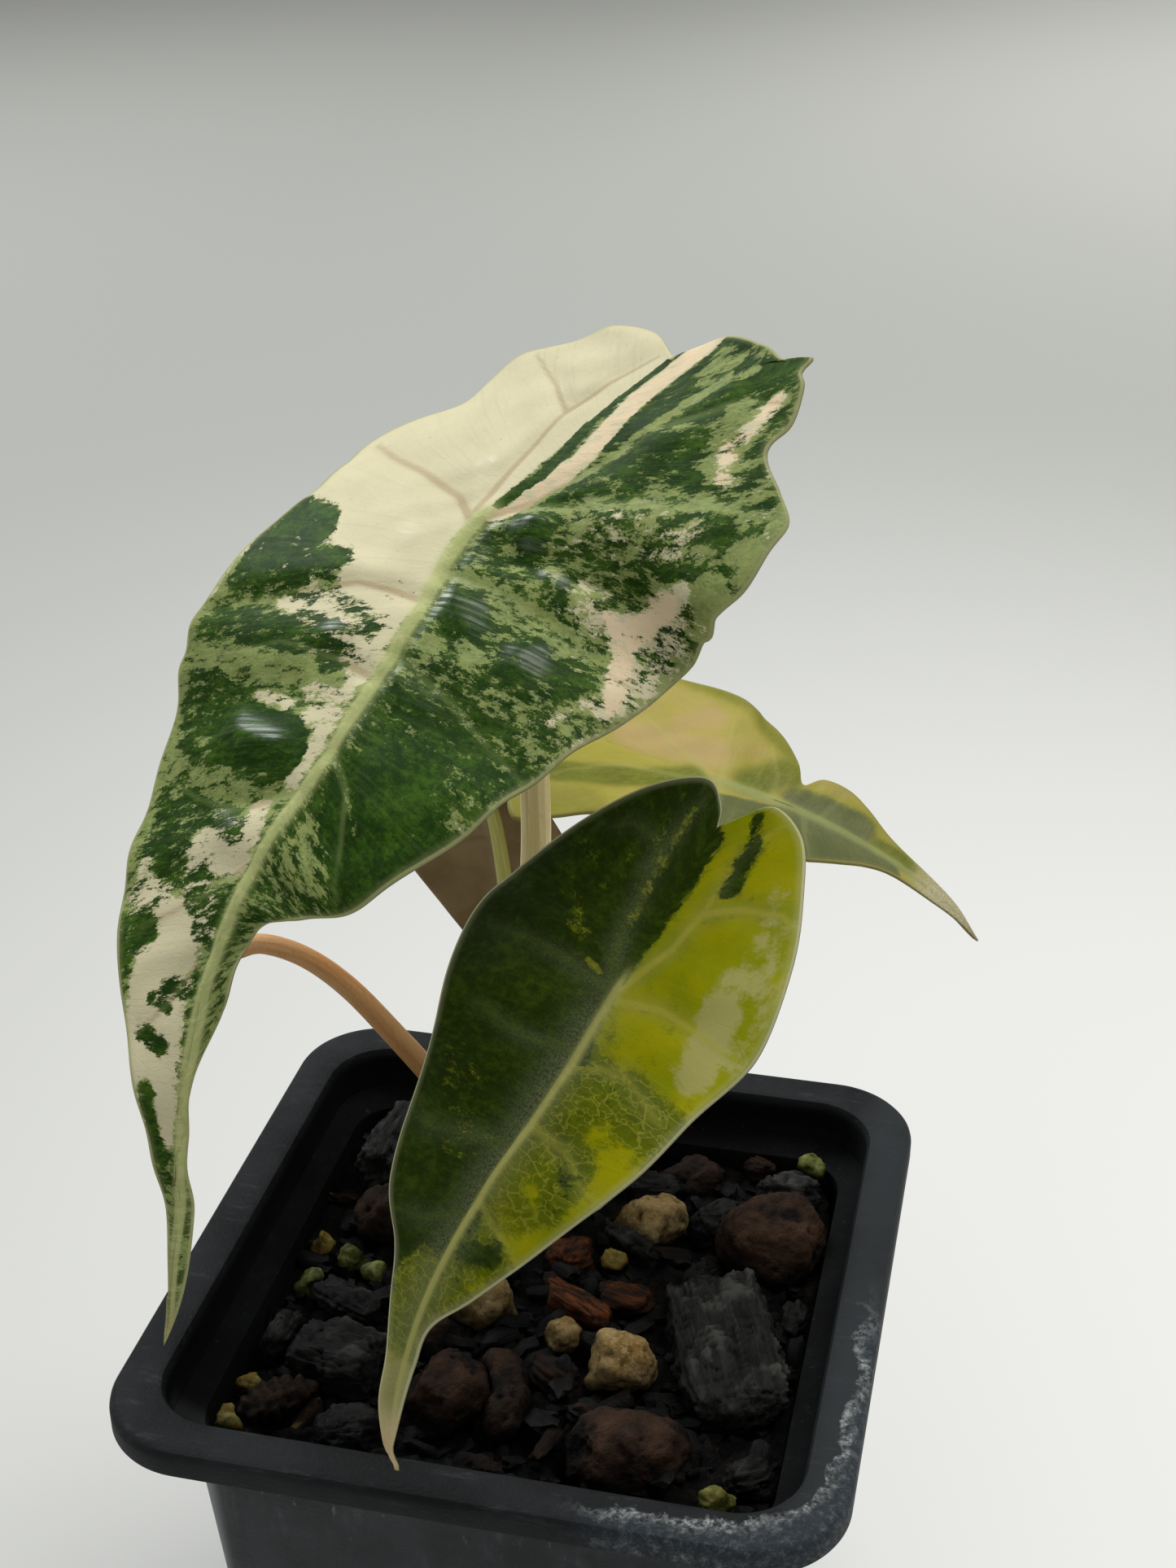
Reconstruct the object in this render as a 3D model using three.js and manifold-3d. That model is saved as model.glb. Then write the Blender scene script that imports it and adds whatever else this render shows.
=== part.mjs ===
// A young variegated alocasia in a square plastic nursery pot, in millimetres, +Z up.
// The origin is the middle of the pot's base, and the pot's near side faces -Y.
// Leaf, stalk and mix heights are measured from the top of the pot's rim.
import * as THREE from "three";
import { mergeVertices } from "three/addons/utils/BufferGeometryUtils.js";
import Module from "manifold-3d";

const wasm = await Module();
wasm.setup();

// Driving dimensions of the pot
const RIM_WIDTH = 90;
const POT_HEIGHT = 82;
const BASE_WIDTH = 64;
const BODY_WIDTH = 73.8;
const RIM_OPENING = 78.2;
const RIM_DROP = 3.6;
const WALL = 1.3;
const STEP_DEPTH = 7.5;
const CORNER_STEPS = 7;

// Driving dimensions of the mix, the rootstock and the leaves
const MIX_DEPTH = 11;
const MIX_RISE = 1.3;
const GAP = 0.3;
const ROOTSTOCK_CENTRE = [-8.2, 26];
const ROOTSTOCK_WIDTH = 14;
const ROOTSTOCK_DEPTH = 15;
const STALK_HOLE_DEPTH = 5;
const BLADE_THICKNESS = 0.7;
const RIB_HALF_WIDTH = 1.5;
const RIB_UNDERSIDE = 1.1;
const RIB_TOP = 0.3;
const BLADE_GRID = 5;
const SMOOTHING = 0.12;
const SLOPE_REACH = 0.4;
const STALK_SIDES = 8;

const COLOURS = {
  pot: 0x232527,
  mix: 0x17130f,
  rootstock: 0x6b4a30,
  charcoal: 0x2b2c2d,
  clay: 0x5a3427,
  pumice: 0x9a815c,
  bark: 0x6f3a1c,
  grain: 0xa9a443,
};

function named(name, geometry, color, roughness = 0.8) {
  const material = new THREE.MeshStandardMaterial({ color, roughness, metalness: 0 });
  geometry.computeVertexNormals();
  const mesh = new THREE.Mesh(geometry, material);
  mesh.name = name;
  return mesh;
}

function solidOf(geometry) {
  const bare = geometry.clone();
  bare.deleteAttribute("normal");
  bare.deleteAttribute("uv");
  const merged = mergeVertices(bare, 1e-3);
  const index = merged.index.array;
  const kept = [];
  for (let i = 0; i < index.length; i += 3) {
    const [a, b, c] = [index[i], index[i + 1], index[i + 2]];
    if (a !== b && b !== c && c !== a) kept.push(a, b, c);
  }
  const mesh = new wasm.Mesh({
    numProp: 3,
    vertProperties: new Float32Array(merged.attributes.position.array),
    triVerts: new Uint32Array(kept),
  });
  return new wasm.Manifold(mesh);
}

function geometryOf(solid) {
  const mesh = solid.getMesh();
  const geometry = new THREE.BufferGeometry();
  geometry.setAttribute("position", new THREE.BufferAttribute(mesh.vertProperties, 3));
  geometry.setIndex(new THREE.BufferAttribute(mesh.triVerts, 1));
  return geometry.toNonIndexed();
}

// The biggest body of a solid: a cut may leave loose crumbs beside it.
function biggestBody(solid) {
  const bodies = solid.decompose();
  bodies.sort((a, b) => b.volume() - a.volume());
  return bodies[0];
}

// A smooth curve through rows of numbers, where t counts rows and the ends run on straight.
function rowAt(rows, t) {
  const last = rows.length - 1;
  const i = Math.min(Math.max(Math.floor(t), 0), last - 1);
  const q = t - i;
  const before = rows[i - 1] ?? rows[0].map((v, k) => 2 * v - rows[1][k]);
  const after = rows[i + 2] ?? rows[last].map((v, k) => 2 * v - rows[last - 1][k]);
  return rows[i].map((b, k) => {
    const [a, c, d] = [before[k], rows[i + 1][k], after[k]];
    const squared = 2 * a - 5 * b + 4 * c - d;
    const cubed = 3 * b - a - 3 * c + d;
    return 0.5 * (2 * b + (c - a) * q + squared * q ** 2 + cubed * q ** 3);
  });
}

// A repeatable number from 0 to 1 for each seed.
function chance(seed) {
  const value = Math.sin(seed * 127.1 + 311.7) * 43758.5453;
  return value - Math.floor(value);
}

// The pot: a lathed profile whose circles are turned into rounded squares.
// Each profile row is the half width, the height and the corner radius there.
function squarePoint(step, half, radius) {
  const side = Math.floor(step / (CORNER_STEPS + 1));
  const angle = ((step % (CORNER_STEPS + 1)) / CORNER_STEPS) * (Math.PI / 2);
  const corner = Math.min(radius, half);
  const local = new THREE.Vector2(Math.cos(angle), Math.sin(angle)).multiplyScalar(corner);
  local.addScalar(half - corner);
  return local.rotateAround(new THREE.Vector2(), side * (Math.PI / 2));
}

function squareTurned(profile) {
  const steps = 4 * (CORNER_STEPS + 1);
  const outline = profile.map(([half, height]) => new THREE.Vector2(half, height));
  const geometry = new THREE.LatheGeometry(outline, steps);
  const position = geometry.attributes.position;
  for (let i = 0; i < position.count; i++) {
    const [half, height, radius] = profile[i % profile.length];
    const step = Math.floor(i / profile.length) % steps;
    const point = squarePoint(step, half, radius);
    position.setXYZ(i, point.x, point.y, height);
  }
  return geometry;
}

const rimHalf = RIM_WIDTH / 2;
const openingHalf = RIM_OPENING / 2;
const bodyHalf = BODY_WIDTH / 2;
const baseHalf = BASE_WIDTH / 2;
const stepHeight = POT_HEIGHT - STEP_DEPTH;
const floorTop = 1.6;

function makePot() {
  const shell = solidOf(
    squareTurned([
      [0, 0, 0],
      [baseHalf - 1, 0, 6],
      [baseHalf, 1, 6.5],
      [bodyHalf, stepHeight - 1.2, 7.5],
      [openingHalf + WALL, stepHeight + 0.6, 8.5],
      [openingHalf + WALL, POT_HEIGHT - 1.4, 8.5],
      [rimHalf - 1.2, POT_HEIGHT - 1.4, 10.5],
      [rimHalf - 1.2, POT_HEIGHT - RIM_DROP, 10.5],
      [rimHalf, POT_HEIGHT - RIM_DROP, 11.5],
      [rimHalf, POT_HEIGHT - 1.1, 11.5],
      [rimHalf - 0.3, POT_HEIGHT - 0.4, 11.3],
      [rimHalf - 1.1, POT_HEIGHT, 10.8],
      [openingHalf + 0.9, POT_HEIGHT, 8.8],
      [openingHalf, POT_HEIGHT - 0.9, 8],
      [openingHalf - 0.3, stepHeight + 1.2, 7.8],
      [bodyHalf - WALL, stepHeight - 0.2, 6.8],
      [baseHalf - WALL, floorTop, 5.5],
      [0, floorTop, 0],
    ]),
  );
  let pot = shell;
  const drain = new THREE.CylinderGeometry(3, 3, 6, 12).rotateX(Math.PI / 2);
  const cornerHoles = [[20, 20], [-20, 20], [-20, -20], [20, -20]];
  const sideHoles = [[23, 0], [0, 23], [-23, 0], [0, -23]];
  for (const [x, y] of [...cornerHoles, ...sideHoles]) {
    pot = pot.subtract(solidOf(drain.clone().translate(x, y, 0)));
  }
  return pot;
}

// The room inside the pot, less the gap to its wall, from the floor to above the rim.
function makeRoom() {
  const inner = bodyHalf - WALL - GAP;
  const lip = openingHalf - 0.3 - GAP;
  const above = POT_HEIGHT + 8;
  const room = squareTurned([
    [0, floorTop + GAP, 0],
    [baseHalf - WALL - GAP, floorTop + GAP, 5.2],
    [inner, stepHeight - 0.2, 6.5],
    [lip, stepHeight + 1.2, 7.5],
    [lip, above, 7.5],
    [0, above, 0],
  ]);
  return solidOf(room.translate(0, 0, -POT_HEIGHT));
}

// Loose pieces of the mix: kind, x, y, length, width, height, turn in degrees and lift over the mix.
const PIECES = [
  ["clay_ball_1", "clay", 28, 17.5, 15, 15, 14, 0, 2.2],
  ["charcoal_1", "charcoal", 25.6, -4.6, 29, 15, 8, -70, 2],
  ["pumice_1", "pumice", 12.5, -9.8, 11, 10, 9, -20, 2.4],
  ["pumice_2", "pumice", 10.6, 18.6, 12, 10, 9, 10, 2.2],
  ["clay_1", "clay", 16.5, -24.2, 17, 13, 11, 8, 1.6],
  ["clay_2", "clay", -7.4, -19, 11, 14, 11, 10, 1.6],
  ["clay_3", "clay", -0.8, -17.4, 15.5, 7, 8, -74, 1.2],
  ["bark_1", "bark", 4.6, -0.2, 14, 4.6, 3.4, -28, 2.4],
  ["pumice_3", "pumice", 4.6, -6.2, 6.5, 5.5, 5, 30, 2.2],
  ["pumice_4", "pumice", -7.6, -0.6, 11, 9, 8, 15, 1],
  ["bark_2", "bark", 10.5, 3.6, 11, 5.5, 4, -8, 0.8],
  ["bark_3", "bark", 1.6, 10.2, 8, 7, 6, 35, 1],
  ["grain_1", "grain", 7.4, 10.4, 4.4, 3.6, 3.4, 0, 1.8],
  ["clay_ball_2", "clay", -25.4, 13.2, 10, 10, 9.5, 0, 1.4],
  ["charcoal_2", "charcoal", -27, 26.6, 19, 13, 10, 84, 2.4],
  ["charcoal_3", "charcoal", 28.6, 29.2, 11, 7, 7, 6, 1.6],
  ["charcoal_4", "charcoal", -25, -6.4, 13, 6, 6, -24, 1.6],
  ["charcoal_5", "charcoal", -22.4, -16.4, 16, 10.5, 9, -12, 1.2],
  ["charcoal_6", "charcoal", -32, -13.4, 10, 5, 6, 84, 1],
  ["bark_4", "bark", -28.4, -25, 11.5, 6, 4.2, 42, 1.8],
  ["grain_2", "grain", -33, -29, 4.2, 4.2, 4.2, 0, 1.4],
  ["grain_3", "grain", -33, -22.4, 4.6, 3.4, 2.8, 50, 0.8],
  ["grain_4", "grain", -32.4, 5, 4.6, 4.6, 4.6, 0, 1.6],
  ["grain_5", "grain", -27.6, 3.4, 5, 4.6, 4.6, 20, 1.8],
  ["grain_6", "grain", -23.6, 1.4, 4.6, 4, 4, 0, 1.2],
  ["grain_7", "grain", -31.6, -2.6, 5.4, 5, 4.4, 0, 1.4],
  ["clay_4", "clay", 15.2, 30.6, 11, 7, 7, 12, 1],
  ["charcoal_7", "charcoal", 4, 30.4, 10, 8, 7, 24, 1.2],
  ["grain_8", "grain", 31.2, 33, 4.8, 4.8, 4.6, 0, 4],
  ["bark_5", "bark", 23.6, 33.6, 7, 3.6, 4, -30, 2],
  ["grain_9", "grain", 28.8, -29.6, 5.4, 4.8, 4.6, 0, 1.6],
  ["bark_6", "bark", 6.6, -25, 9, 2.6, 2.4, 74, 1.4],
  ["clay_5", "clay", -0.6, -29.6, 7, 4, 4, -8, 0.4],
  ["charcoal_8", "charcoal", -17.4, -27.4, 12, 8, 7, 14, 0.6],
  ["charcoal_9", "charcoal", -8.4, 7.6, 9, 7, 6, -20, 0.4],
  ["charcoal_10", "charcoal", 19.4, 10, 8, 5, 5, 70, 0.2],
  ["charcoal_11", "charcoal", -23, 20, 7, 5, 5, 10, 0],
  ["charcoal_12", "charcoal", 33, 4.6, 7, 4, 5, 84, 0.6],
  ["clay_6", "clay", -14, 14.4, 7, 6, 6, 0, 0.4],
  ["bark_7", "bark", -16, 2.6, 8, 5, 3.4, 60, 0.6],
  ["charcoal_13", "charcoal", 9.2, 13, 14, 2.8, 2.6, -33, 3.2],
  ["charcoal_14", "charcoal", 9.4, 27.2, 10, 6.5, 6, -8, 1],
  ["charcoal_15", "charcoal", 32, -24.6, 8, 6, 6, 30, 0.6],
  ["charcoal_16", "charcoal", 20.4, 22, 10, 7, 7, 40, 0.8],
  ["clay_7", "clay", -14.4, -8.6, 9, 8, 7.5, 10, 0.8],
  ["bark_8", "bark", 4.6, -12.8, 8.5, 6, 6, -30, 1],
];

// How far each kind leaves the ellipsoid: boxiness from 0 to 1, and the share of random dents.
const KIND_SHAPE = {
  clay: [0.1, 0.05],
  charcoal: [0.75, 0.12],
  pumice: [0.45, 0.14],
  bark: [0.8, 0.16],
  grain: [0.2, 0.07],
};

function pieceSolid(piece, order, grow) {
  const [name, kind, x, y, length, width, height, turn, lift] = piece;
  const [boxiness, dent] = KIND_SHAPE[kind];
  const detail = Math.max(length, width) > 12.5 ? 2 : 1;
  const geometry = new THREE.IcosahedronGeometry(1, detail);
  geometry.deleteAttribute("normal");
  geometry.deleteAttribute("uv");
  const ball = mergeVertices(geometry, 1e-3);
  const position = ball.attributes.position;
  const roundness = name.startsWith("clay_ball") ? 0.25 : 1;
  const corner = new THREE.Vector3();
  for (let i = 0; i < position.count; i++) {
    corner.fromBufferAttribute(position, i);
    const widest = Math.max(Math.abs(corner.x), Math.abs(corner.y), Math.abs(corner.z));
    const boxed = 1 + boxiness * roundness * 0.62 * (1 / widest - 1);
    const dented = 1 - dent * roundness * chance(i + order * 71);
    corner.multiplyScalar(boxed * dented);
    position.setXYZ(i, corner.x, corner.y, corner.z);
  }
  ball.scale(length / 2 + grow, width / 2 + grow, height / 2 + grow);
  ball.rotateX((chance(order + 0.3) - 0.5) * 0.35);
  ball.rotateZ((turn * Math.PI) / 180);
  ball.translate(x, y, lift - MIX_DEPTH);
  return solidOf(ball);
}

// The mix below the loose pieces: a filled pot with a lumpy top.
function makeMix() {
  const inner = bodyHalf - WALL - GAP;
  const under = baseHalf - WALL - GAP;
  const spread = (inner - under) / (stepHeight - floorTop);
  const top = POT_HEIGHT - MIX_DEPTH;
  const wallAt = (height) => under + spread * (height - floorTop) - 0.1;
  const profile = [
    [0, floorTop + GAP, 0],
    [wallAt(floorTop + GAP), floorTop + GAP, 5.2],
    [wallAt(top - 2.5), top - 2.5, 6.4],
  ];
  for (const share of [0.9, 0.7, 0.5, 0.3, 0.12]) {
    profile.push([wallAt(top) * share, top, 6 * share]);
  }
  profile.push([0, top, 0]);
  const geometry = squareTurned(profile);
  const position = geometry.attributes.position;
  for (let i = 0; i < position.count; i++) {
    if (i % profile.length < 3) continue;
    const [x, y] = [position.getX(i), position.getY(i)];
    const lumps = Math.sin(x * 0.62 + 1.3) * Math.cos(y * 0.55);
    const swell = 0.6 * Math.sin(x * 0.23 - y * 0.37);
    position.setZ(i, position.getZ(i) + MIX_RISE * (lumps + swell));
  }
  return solidOf(geometry.translate(0, 0, -POT_HEIGHT));
}

// Each leaf: its rib from the notch between the lobes to the tip, with x, y, height over the rim
// and how far the left and right halves fold down in degrees, then its flat outline as rows of
// distance along the rib and the left and right margin points, each as x and distance along.
// The side veins run from the rib to the margin along these rows, from row firstVein on.
const LEAVES = {
  large_leaf: {
    color: 0x6f8f4e,
    rib: [
      [11, 25.5, 112, -4, 10],
      [-7.5, 10, 97.5, -4, 10],
      [-12, -4, 90, -2, 10],
      [-17.5, -18, 80, 0, 10],
      [-23.5, -27, 70.5, 4, 10],
      [-27, -35, 60, 8, 18],
      [-28, -42, 49.5, 10, 34],
      [-27.6, -47.5, 37.5, 12, 46],
      [-28.5, -52, 24, 12, 30],
    ],
    outline: [
      [-29, 0, -29, 0, -29],
      [-27, -7.2, -30.4, 3, -34.6],
      [-24, -13.4, -28.8, 9, -36.7],
      [-20, -20.8, -22.6, 17.2, -35.8],
      [-15, -24.3, -15.9, 20.7, -27.8],
      [-9, -24.3, -7.9, 28.9, -24.4],
      [-2, -26, -0.5, 33.3, -14],
      [6, -26.4, 10, 32.5, -2],
      [13, -29.2, 21.5, 29.8, 12],
      [27, -28, 36.5, 22.2, 27.8],
      [41, -21.7, 51, 14.6, 47],
      [50, -17.8, 57.6, 8.5, 52.4],
      [57, -14.2, 62.4, 4.2, 55],
      [62, -11.5, 66.3, 2.9, 58.7],
      [68, -8.9, 70, 2.8, 64.5],
      [74, -6.5, 74.6, 1.2, 72],
      [81, -3.8, 81, 0.9, 80.5],
      [88, -1.5, 88, 1.8, 88],
      [94.5, -0.3, 94.5, 1.9, 94.5],
      [103.2, 0, 103.2, 0, 103.2],
    ],
    roll: 0,
    curl: 0.4,
    firstVein: 5,
    quilt: 1.3,
    stalk: [
      [-8.5, 24.2, -11],
      [-7, 21, 8],
      [-4.5, 13.5, 32],
      [-1.8, 9, 58],
      [-3, 9.3, 80],
      [-7.1, 10.6, 95.6],
    ],
    stalkColor: 0xc9b9a4,
    stalkRadii: [2.1, 1.6],
  },
  front_leaf: {
    color: 0x4c6a24,
    rib: [
      [23, -5, 68.3, -8, -8],
      [15, -21, 56.3, -8, -8],
      [10, -31, 48.5, -8, -8],
      [3.8, -38.5, 39.3, -4, -4],
      [-0.9, -44.5, 29.9, 0, 0],
      [-3.4, -49, 20.6, 0, 0],
      [-4.2, -52.3, 12, 0, 0],
    ],
    outline: [
      [-21.5, 0, -21.5, 0, -21.5],
      [-20, -1.2, -24.2, 1.8, -23.2],
      [-18, -4.6, -26.5, 5.4, -25.9],
      [-14, -10.4, -22.9, 10.6, -23.5],
      [-10, -15.6, -15.8, 14.2, -18],
      [-5, -19.6, -7, 18, -9.3],
      [0, -21.3, -0.5, 19.9, 1.6],
      [9, -18.7, 12, 17.4, 10],
      [19, -17.2, 21.5, 15.9, 17],
      [29, -13, 32, 11.5, 27],
      [36, -7.4, 37, 6.1, 36.6],
      [41, -4.9, 41, 2.2, 42.2],
      [47, -2.4, 47, 1.7, 47],
      [53, -1.6, 53, 1.2, 53],
      [59.2, 0.4, 59.2, 0.4, 59.2],
    ],
    roll: 0,
    curl: 0.5,
    firstVein: 5,
    quilt: 0.5,
    stalk: [
      [-4, 22.6, -11],
      [1, 17, 12],
      [8, 5, 36],
      [13.2, -9, 50.5],
      [14.8, -19.6, 54.4],
    ],
    stalkColor: 0x9aa06a,
    stalkRadii: [1.6, 1.3],
  },
  right_leaf: {
    color: 0x8c9440,
    rib: [
      [11.3, 41.1, 50.1, 0, -15],
      [15.7, 40.4, 49.2, 0, -15],
      [26.1, 40.6, 46, 0, -15],
      [37.2, 39.8, 41.3, -2, -15],
      [46.7, 39.4, 35.2, -5, -10],
      [51.6, 38.5, 30.4, -10, -10],
    ],
    outline: [
      [-18, 0, -18, 0, -18],
      [-16, -4, -22.5, 3, -22.5],
      [-13.5, -10, -23.5, 8, -23.5],
      [-10.5, -17, -23.3, 13.4, -21.6],
      [-7.5, -22.4, -20, 16.7, -16.8],
      [-4.5, -19.4, -15.6, 17.9, -11.4],
      [-2, -15.7, -11.1, 18.5, -6.4],
      [0.5, -14.1, -4.2, 17.7, -1.7],
      [3.5, -13.8, 2, 15.2, 4.9],
      [6.5, -12.6, 7.5, 9.8, 8.8],
      [8.5, -11.4, 11, 5.6, 10.4],
      [11, -9.4, 15, 8.2, 12.6],
      [14.5, -6.6, 19, 8.4, 16],
      [18.5, -4.1, 22.4, 6.8, 19.4],
      [24, -2.6, 26, 4, 24.4],
      [32.6, -2, 33, 2, 33],
      [41.2, 0, 41.2, 0, 41.2],
    ],
    roll: 0,
    curl: 0.4,
    firstVein: 6,
    quilt: 0.6,
    stalk: [
      [-4.2, 28, -11],
      [-2, 30, 10],
      [3.6, 34, 30],
      [11, 38.4, 43],
      [15.4, 40.3, 47.4],
    ],
    stalkColor: 0x9aa06a,
    stalkRadii: [1.6, 1.2],
  },
  back_leaf: {
    color: 0x4a3334,
    rib: [
      [-18.4, 36.7, 55.5, 4, 4],
      [-17.3, 38, 48, 4, 4],
      [-15.8, 39.7, 39.5, 4, 4],
      [-14.6, 41.2, 30, 6, 6],
      [-13.7, 42.2, 20, 8, 8],
      [-12.8, 43.2, 5, 8, 8],
    ],
    outline: [
      [-7.7, 0, -7.7, 0, -7.7],
      [-7, -2.2, -11.5, 3, -14],
      [-5.5, -5, -12.5, 8, -15],
      [-3, -7.6, -7.5, 12, -9],
      [1, -8.6, 0, 15.5, 0],
      [8, -11, 8, 15.5, 8],
      [15, -13, 15, 14.3, 15],
      [22, -11.3, 22, 11.5, 22],
      [30, -7, 30, 7, 30],
      [37, -2.8, 37, 2.8, 37],
      [44, 0, 44, 0, 44],
    ],
    roll: 30,
    curl: 0.4,
    firstVein: 4,
    quilt: 0.6,
    stalk: [
      [-9.3, 29.5, -11],
      [-11.8, 30.5, 6],
      [-12, 32, 28],
      [-14.2, 34.8, 42],
      [-16.9, 37.3, 47.4],
    ],
    stalkColor: 0xa3a25a,
    stalkRadii: [1.3, 0.8],
  },
  left_leaf: {
    color: 0x5c5a3c,
    rib: [
      [-44.6, 9.6, 35.6, 10, 10],
      [-46.7, 8.9, 33.4, 10, 10],
      [-48.8, 8.3, 29.6, 10, 10],
      [-51, 7.6, 22.5, 10, 10],
      [-52.4, 7, 13, 10, 10],
    ],
    outline: [
      [-2.8, 0, -2.8, 0, -2.8],
      [-2.4, -1.6, -5, 1.6, -5],
      [-1.6, -3.8, -4.6, 3.4, -4.6],
      [-0.6, -5.2, -1.4, 4.2, -1.4],
      [3, -5.6, 4, 4.2, 4],
      [8, -4.6, 9, 3.2, 9],
      [14.5, -2.4, 15, 1.7, 15],
      [22, 0, 22, 0, 22],
    ],
    roll: 0,
    curl: 0.4,
    firstVein: 3,
    quilt: 0.4,
    stalk: [
      [-13.2, 25.8, -11],
      [-15.2, 24.2, -3],
      [-19.4, 20.8, 8],
      [-24.4, 16.8, 18.8],
      [-29.4, 14, 27.4],
      [-34.2, 11.6, 33],
      [-39, 9.4, 35.8],
      [-42.6, 9.1, 34.6],
      [-45.2, 9, 33.2],
    ],
    stalkColor: 0xb08a72,
    stalkRadii: [1.8, 1.1],
  },
};

// Directions averaged along the rib, so that a bend in the rib doesn't crease the blade beside it.
function smoothed(samples, key, reach) {
  const averages = samples.map((sample) => {
    const sum = new THREE.Vector3();
    for (const other of samples) {
      const weight = 1 - Math.abs(other.along - sample.along) / reach;
      if (weight > 0) sum.addScaledVector(other[key], weight);
    }
    return sum.normalize();
  });
  samples.forEach((sample, i) => {
    sample[key] = averages[i];
  });
}

// The rib sampled each half millimetre: place, direction, across, upward normal and folds.
function ribOf(leaf) {
  const turns = leaf.rib.length - 1;
  const samples = [];
  const count = turns * 40;
  let along = 0;
  for (let i = 0; i <= count; i++) {
    const t = (i / count) * turns;
    const [x, y, z, foldLeft, foldRight] = rowAt(leaf.rib, t);
    const place = new THREE.Vector3(x, y, z);
    if (i) along += place.distanceTo(samples[i - 1].place);
    samples.push({ t, along, place, foldLeft, foldRight });
  }
  const junction = samples.find((sample) => sample.t >= 1).along;
  samples.forEach((sample, i) => {
    const next = samples[Math.min(i + 1, count)].place;
    const previous = samples[Math.max(i - 1, 0)].place;
    const forward = next.clone().sub(previous).normalize();
    const across = new THREE.Vector3(0, 0, 1).cross(forward).normalize();
    across.applyAxisAngle(forward, -THREE.MathUtils.degToRad(leaf.roll));
    Object.assign(sample, { forward, across });
  });
  smoothed(samples, "across", SMOOTHING * along);
  for (const sample of samples) {
    sample.normal = sample.forward.clone().cross(sample.across);
    sample.along -= junction;
  }
  smoothed(samples, "normal", SMOOTHING * along);
  return samples;
}

function ribAt(samples, along) {
  let high = samples.findIndex((sample) => sample.along >= along);
  if (high < 0) high = samples.length - 1;
  high = Math.max(high, 1);
  const [a, b] = [samples[high - 1], samples[high]];
  const q = THREE.MathUtils.clamp((along - a.along) / (b.along - a.along), 0, 1);
  const place = a.place.clone().lerp(b.place, q);
  const last = samples[samples.length - 1];
  const past = along - THREE.MathUtils.clamp(along, samples[0].along, last.along);
  return {
    place: place.addScaledVector(a.forward, past),
    across: a.across.clone().lerp(b.across, q).normalize(),
    normal: a.normal.clone().lerp(b.normal, q).normalize(),
    foldLeft: a.foldLeft + (b.foldLeft - a.foldLeft) * q,
    foldRight: a.foldRight + (b.foldRight - a.foldRight) * q,
  };
}

// A flat point of the blade, x across and s along the rib, laid over the folded and curled leaf.
function laidPoint(leaf, samples, x, s, bulge) {
  const rib = ribAt(samples, s);
  const fold = THREE.MathUtils.degToRad(x > 0 ? rib.foldRight : rib.foldLeft);
  const curl = THREE.MathUtils.degToRad(leaf.curl);
  const reach = Math.abs(x);
  const out = (Math.sin(fold + curl * reach) - Math.sin(fold)) / curl;
  const drop = (Math.cos(fold) - Math.cos(fold + curl * reach)) / curl;
  const place = rib.place.addScaledVector(rib.across, Math.sign(x) * out);
  return place.addScaledVector(rib.normal, bulge - drop);
}

// The blade as a sheet of flat points in lines from the rib out to both margins, with each
// point's way outwards at the margin, its taper towards the tip and its quilted bulge.
function sheetOf(leaf) {
  const { outline, firstVein, quilt } = leaf;
  const points = [];
  const rows = [];
  const seen = new Map();
  const tip = outline[outline.length - 1][0];
  const add = (root, marginX, marginS, t, u) => {
    const [x, s] = [marginX * u, root + (marginS - root) * u];
    const key = `${x.toFixed(3)} ${s.toFixed(3)}`;
    if (!seen.has(key)) {
      const raised = t > firstVein ? Math.sin(Math.PI * t) ** 2 * 4 * u * (1 - u) : 0;
      const fade = THREE.MathUtils.clamp((tip - s) / (0.5 * tip), 0, 1);
      seen.set(key, points.length);
      const width = Math.hypot(marginX, marginS - root) || 1;
      const outwards = u === 1 ? [marginX / width, (marginS - root) / width] : [0, 0];
      const taper = THREE.MathUtils.clamp((tip - s) / tip, 0, 1);
      points.push({ x, s, outwards, onRib: u === 0, taper, bulge: quilt * raised * fade });
    }
    return seen.get(key);
  };
  for (let row = 0; row < outline.length - 1; row++) {
    const [rib, leftX, leftS, rightX, rightS] = outline[row + 1].map((v, k) => v - outline[row][k]);
    const move = Math.max(rib, Math.hypot(leftX, leftS), Math.hypot(rightX, rightS));
    const steps = Math.max(1, Math.round(move / BLADE_GRID));
    for (let k = 0; k < steps; k++) rows.push(row + k / steps);
  }
  rows.push(outline.length - 1);
  const lines = rows.map((t) => {
    const [root, leftX, leftS, rightX, rightS] = rowAt(outline, t);
    const line = [];
    for (const [x, s] of [[leftX, leftS], [rightX, rightS]]) {
      const width = Math.hypot(x, s - root);
      const ribWidth = RIB_HALF_WIDTH * ((tip - root) / tip);
      const ribShare = width > 0.01 ? Math.min(0.3, ribWidth / width) : 0;
      const shares = [0, 0.25, 0.5, 0.76, 1].map((share) => share + (1 - share) * ribShare);
      line.push([0, ...shares].map((u) => add(root, x, s, t, u)));
    }
    return [...line[0].reverse(), ...line[1].slice(1)];
  });
  const faces = [];
  for (let i = 0; i < lines.length - 1; i++) {
    for (let j = 0; j < lines[0].length - 1; j++) {
      const [a, b] = [lines[i][j], lines[i][j + 1]];
      const [d, c] = [lines[i + 1][j], lines[i + 1][j + 1]];
      const leftHalf = j < lines[0].length / 2 - 1;
      const split = leftHalf ? [[a, b, c], [a, c, d]] : [[a, b, d], [b, c, d]];
      faces.push(...split.filter((face) => new Set(face).size === 3));
    }
  }
  return { points, faces };
}

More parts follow.
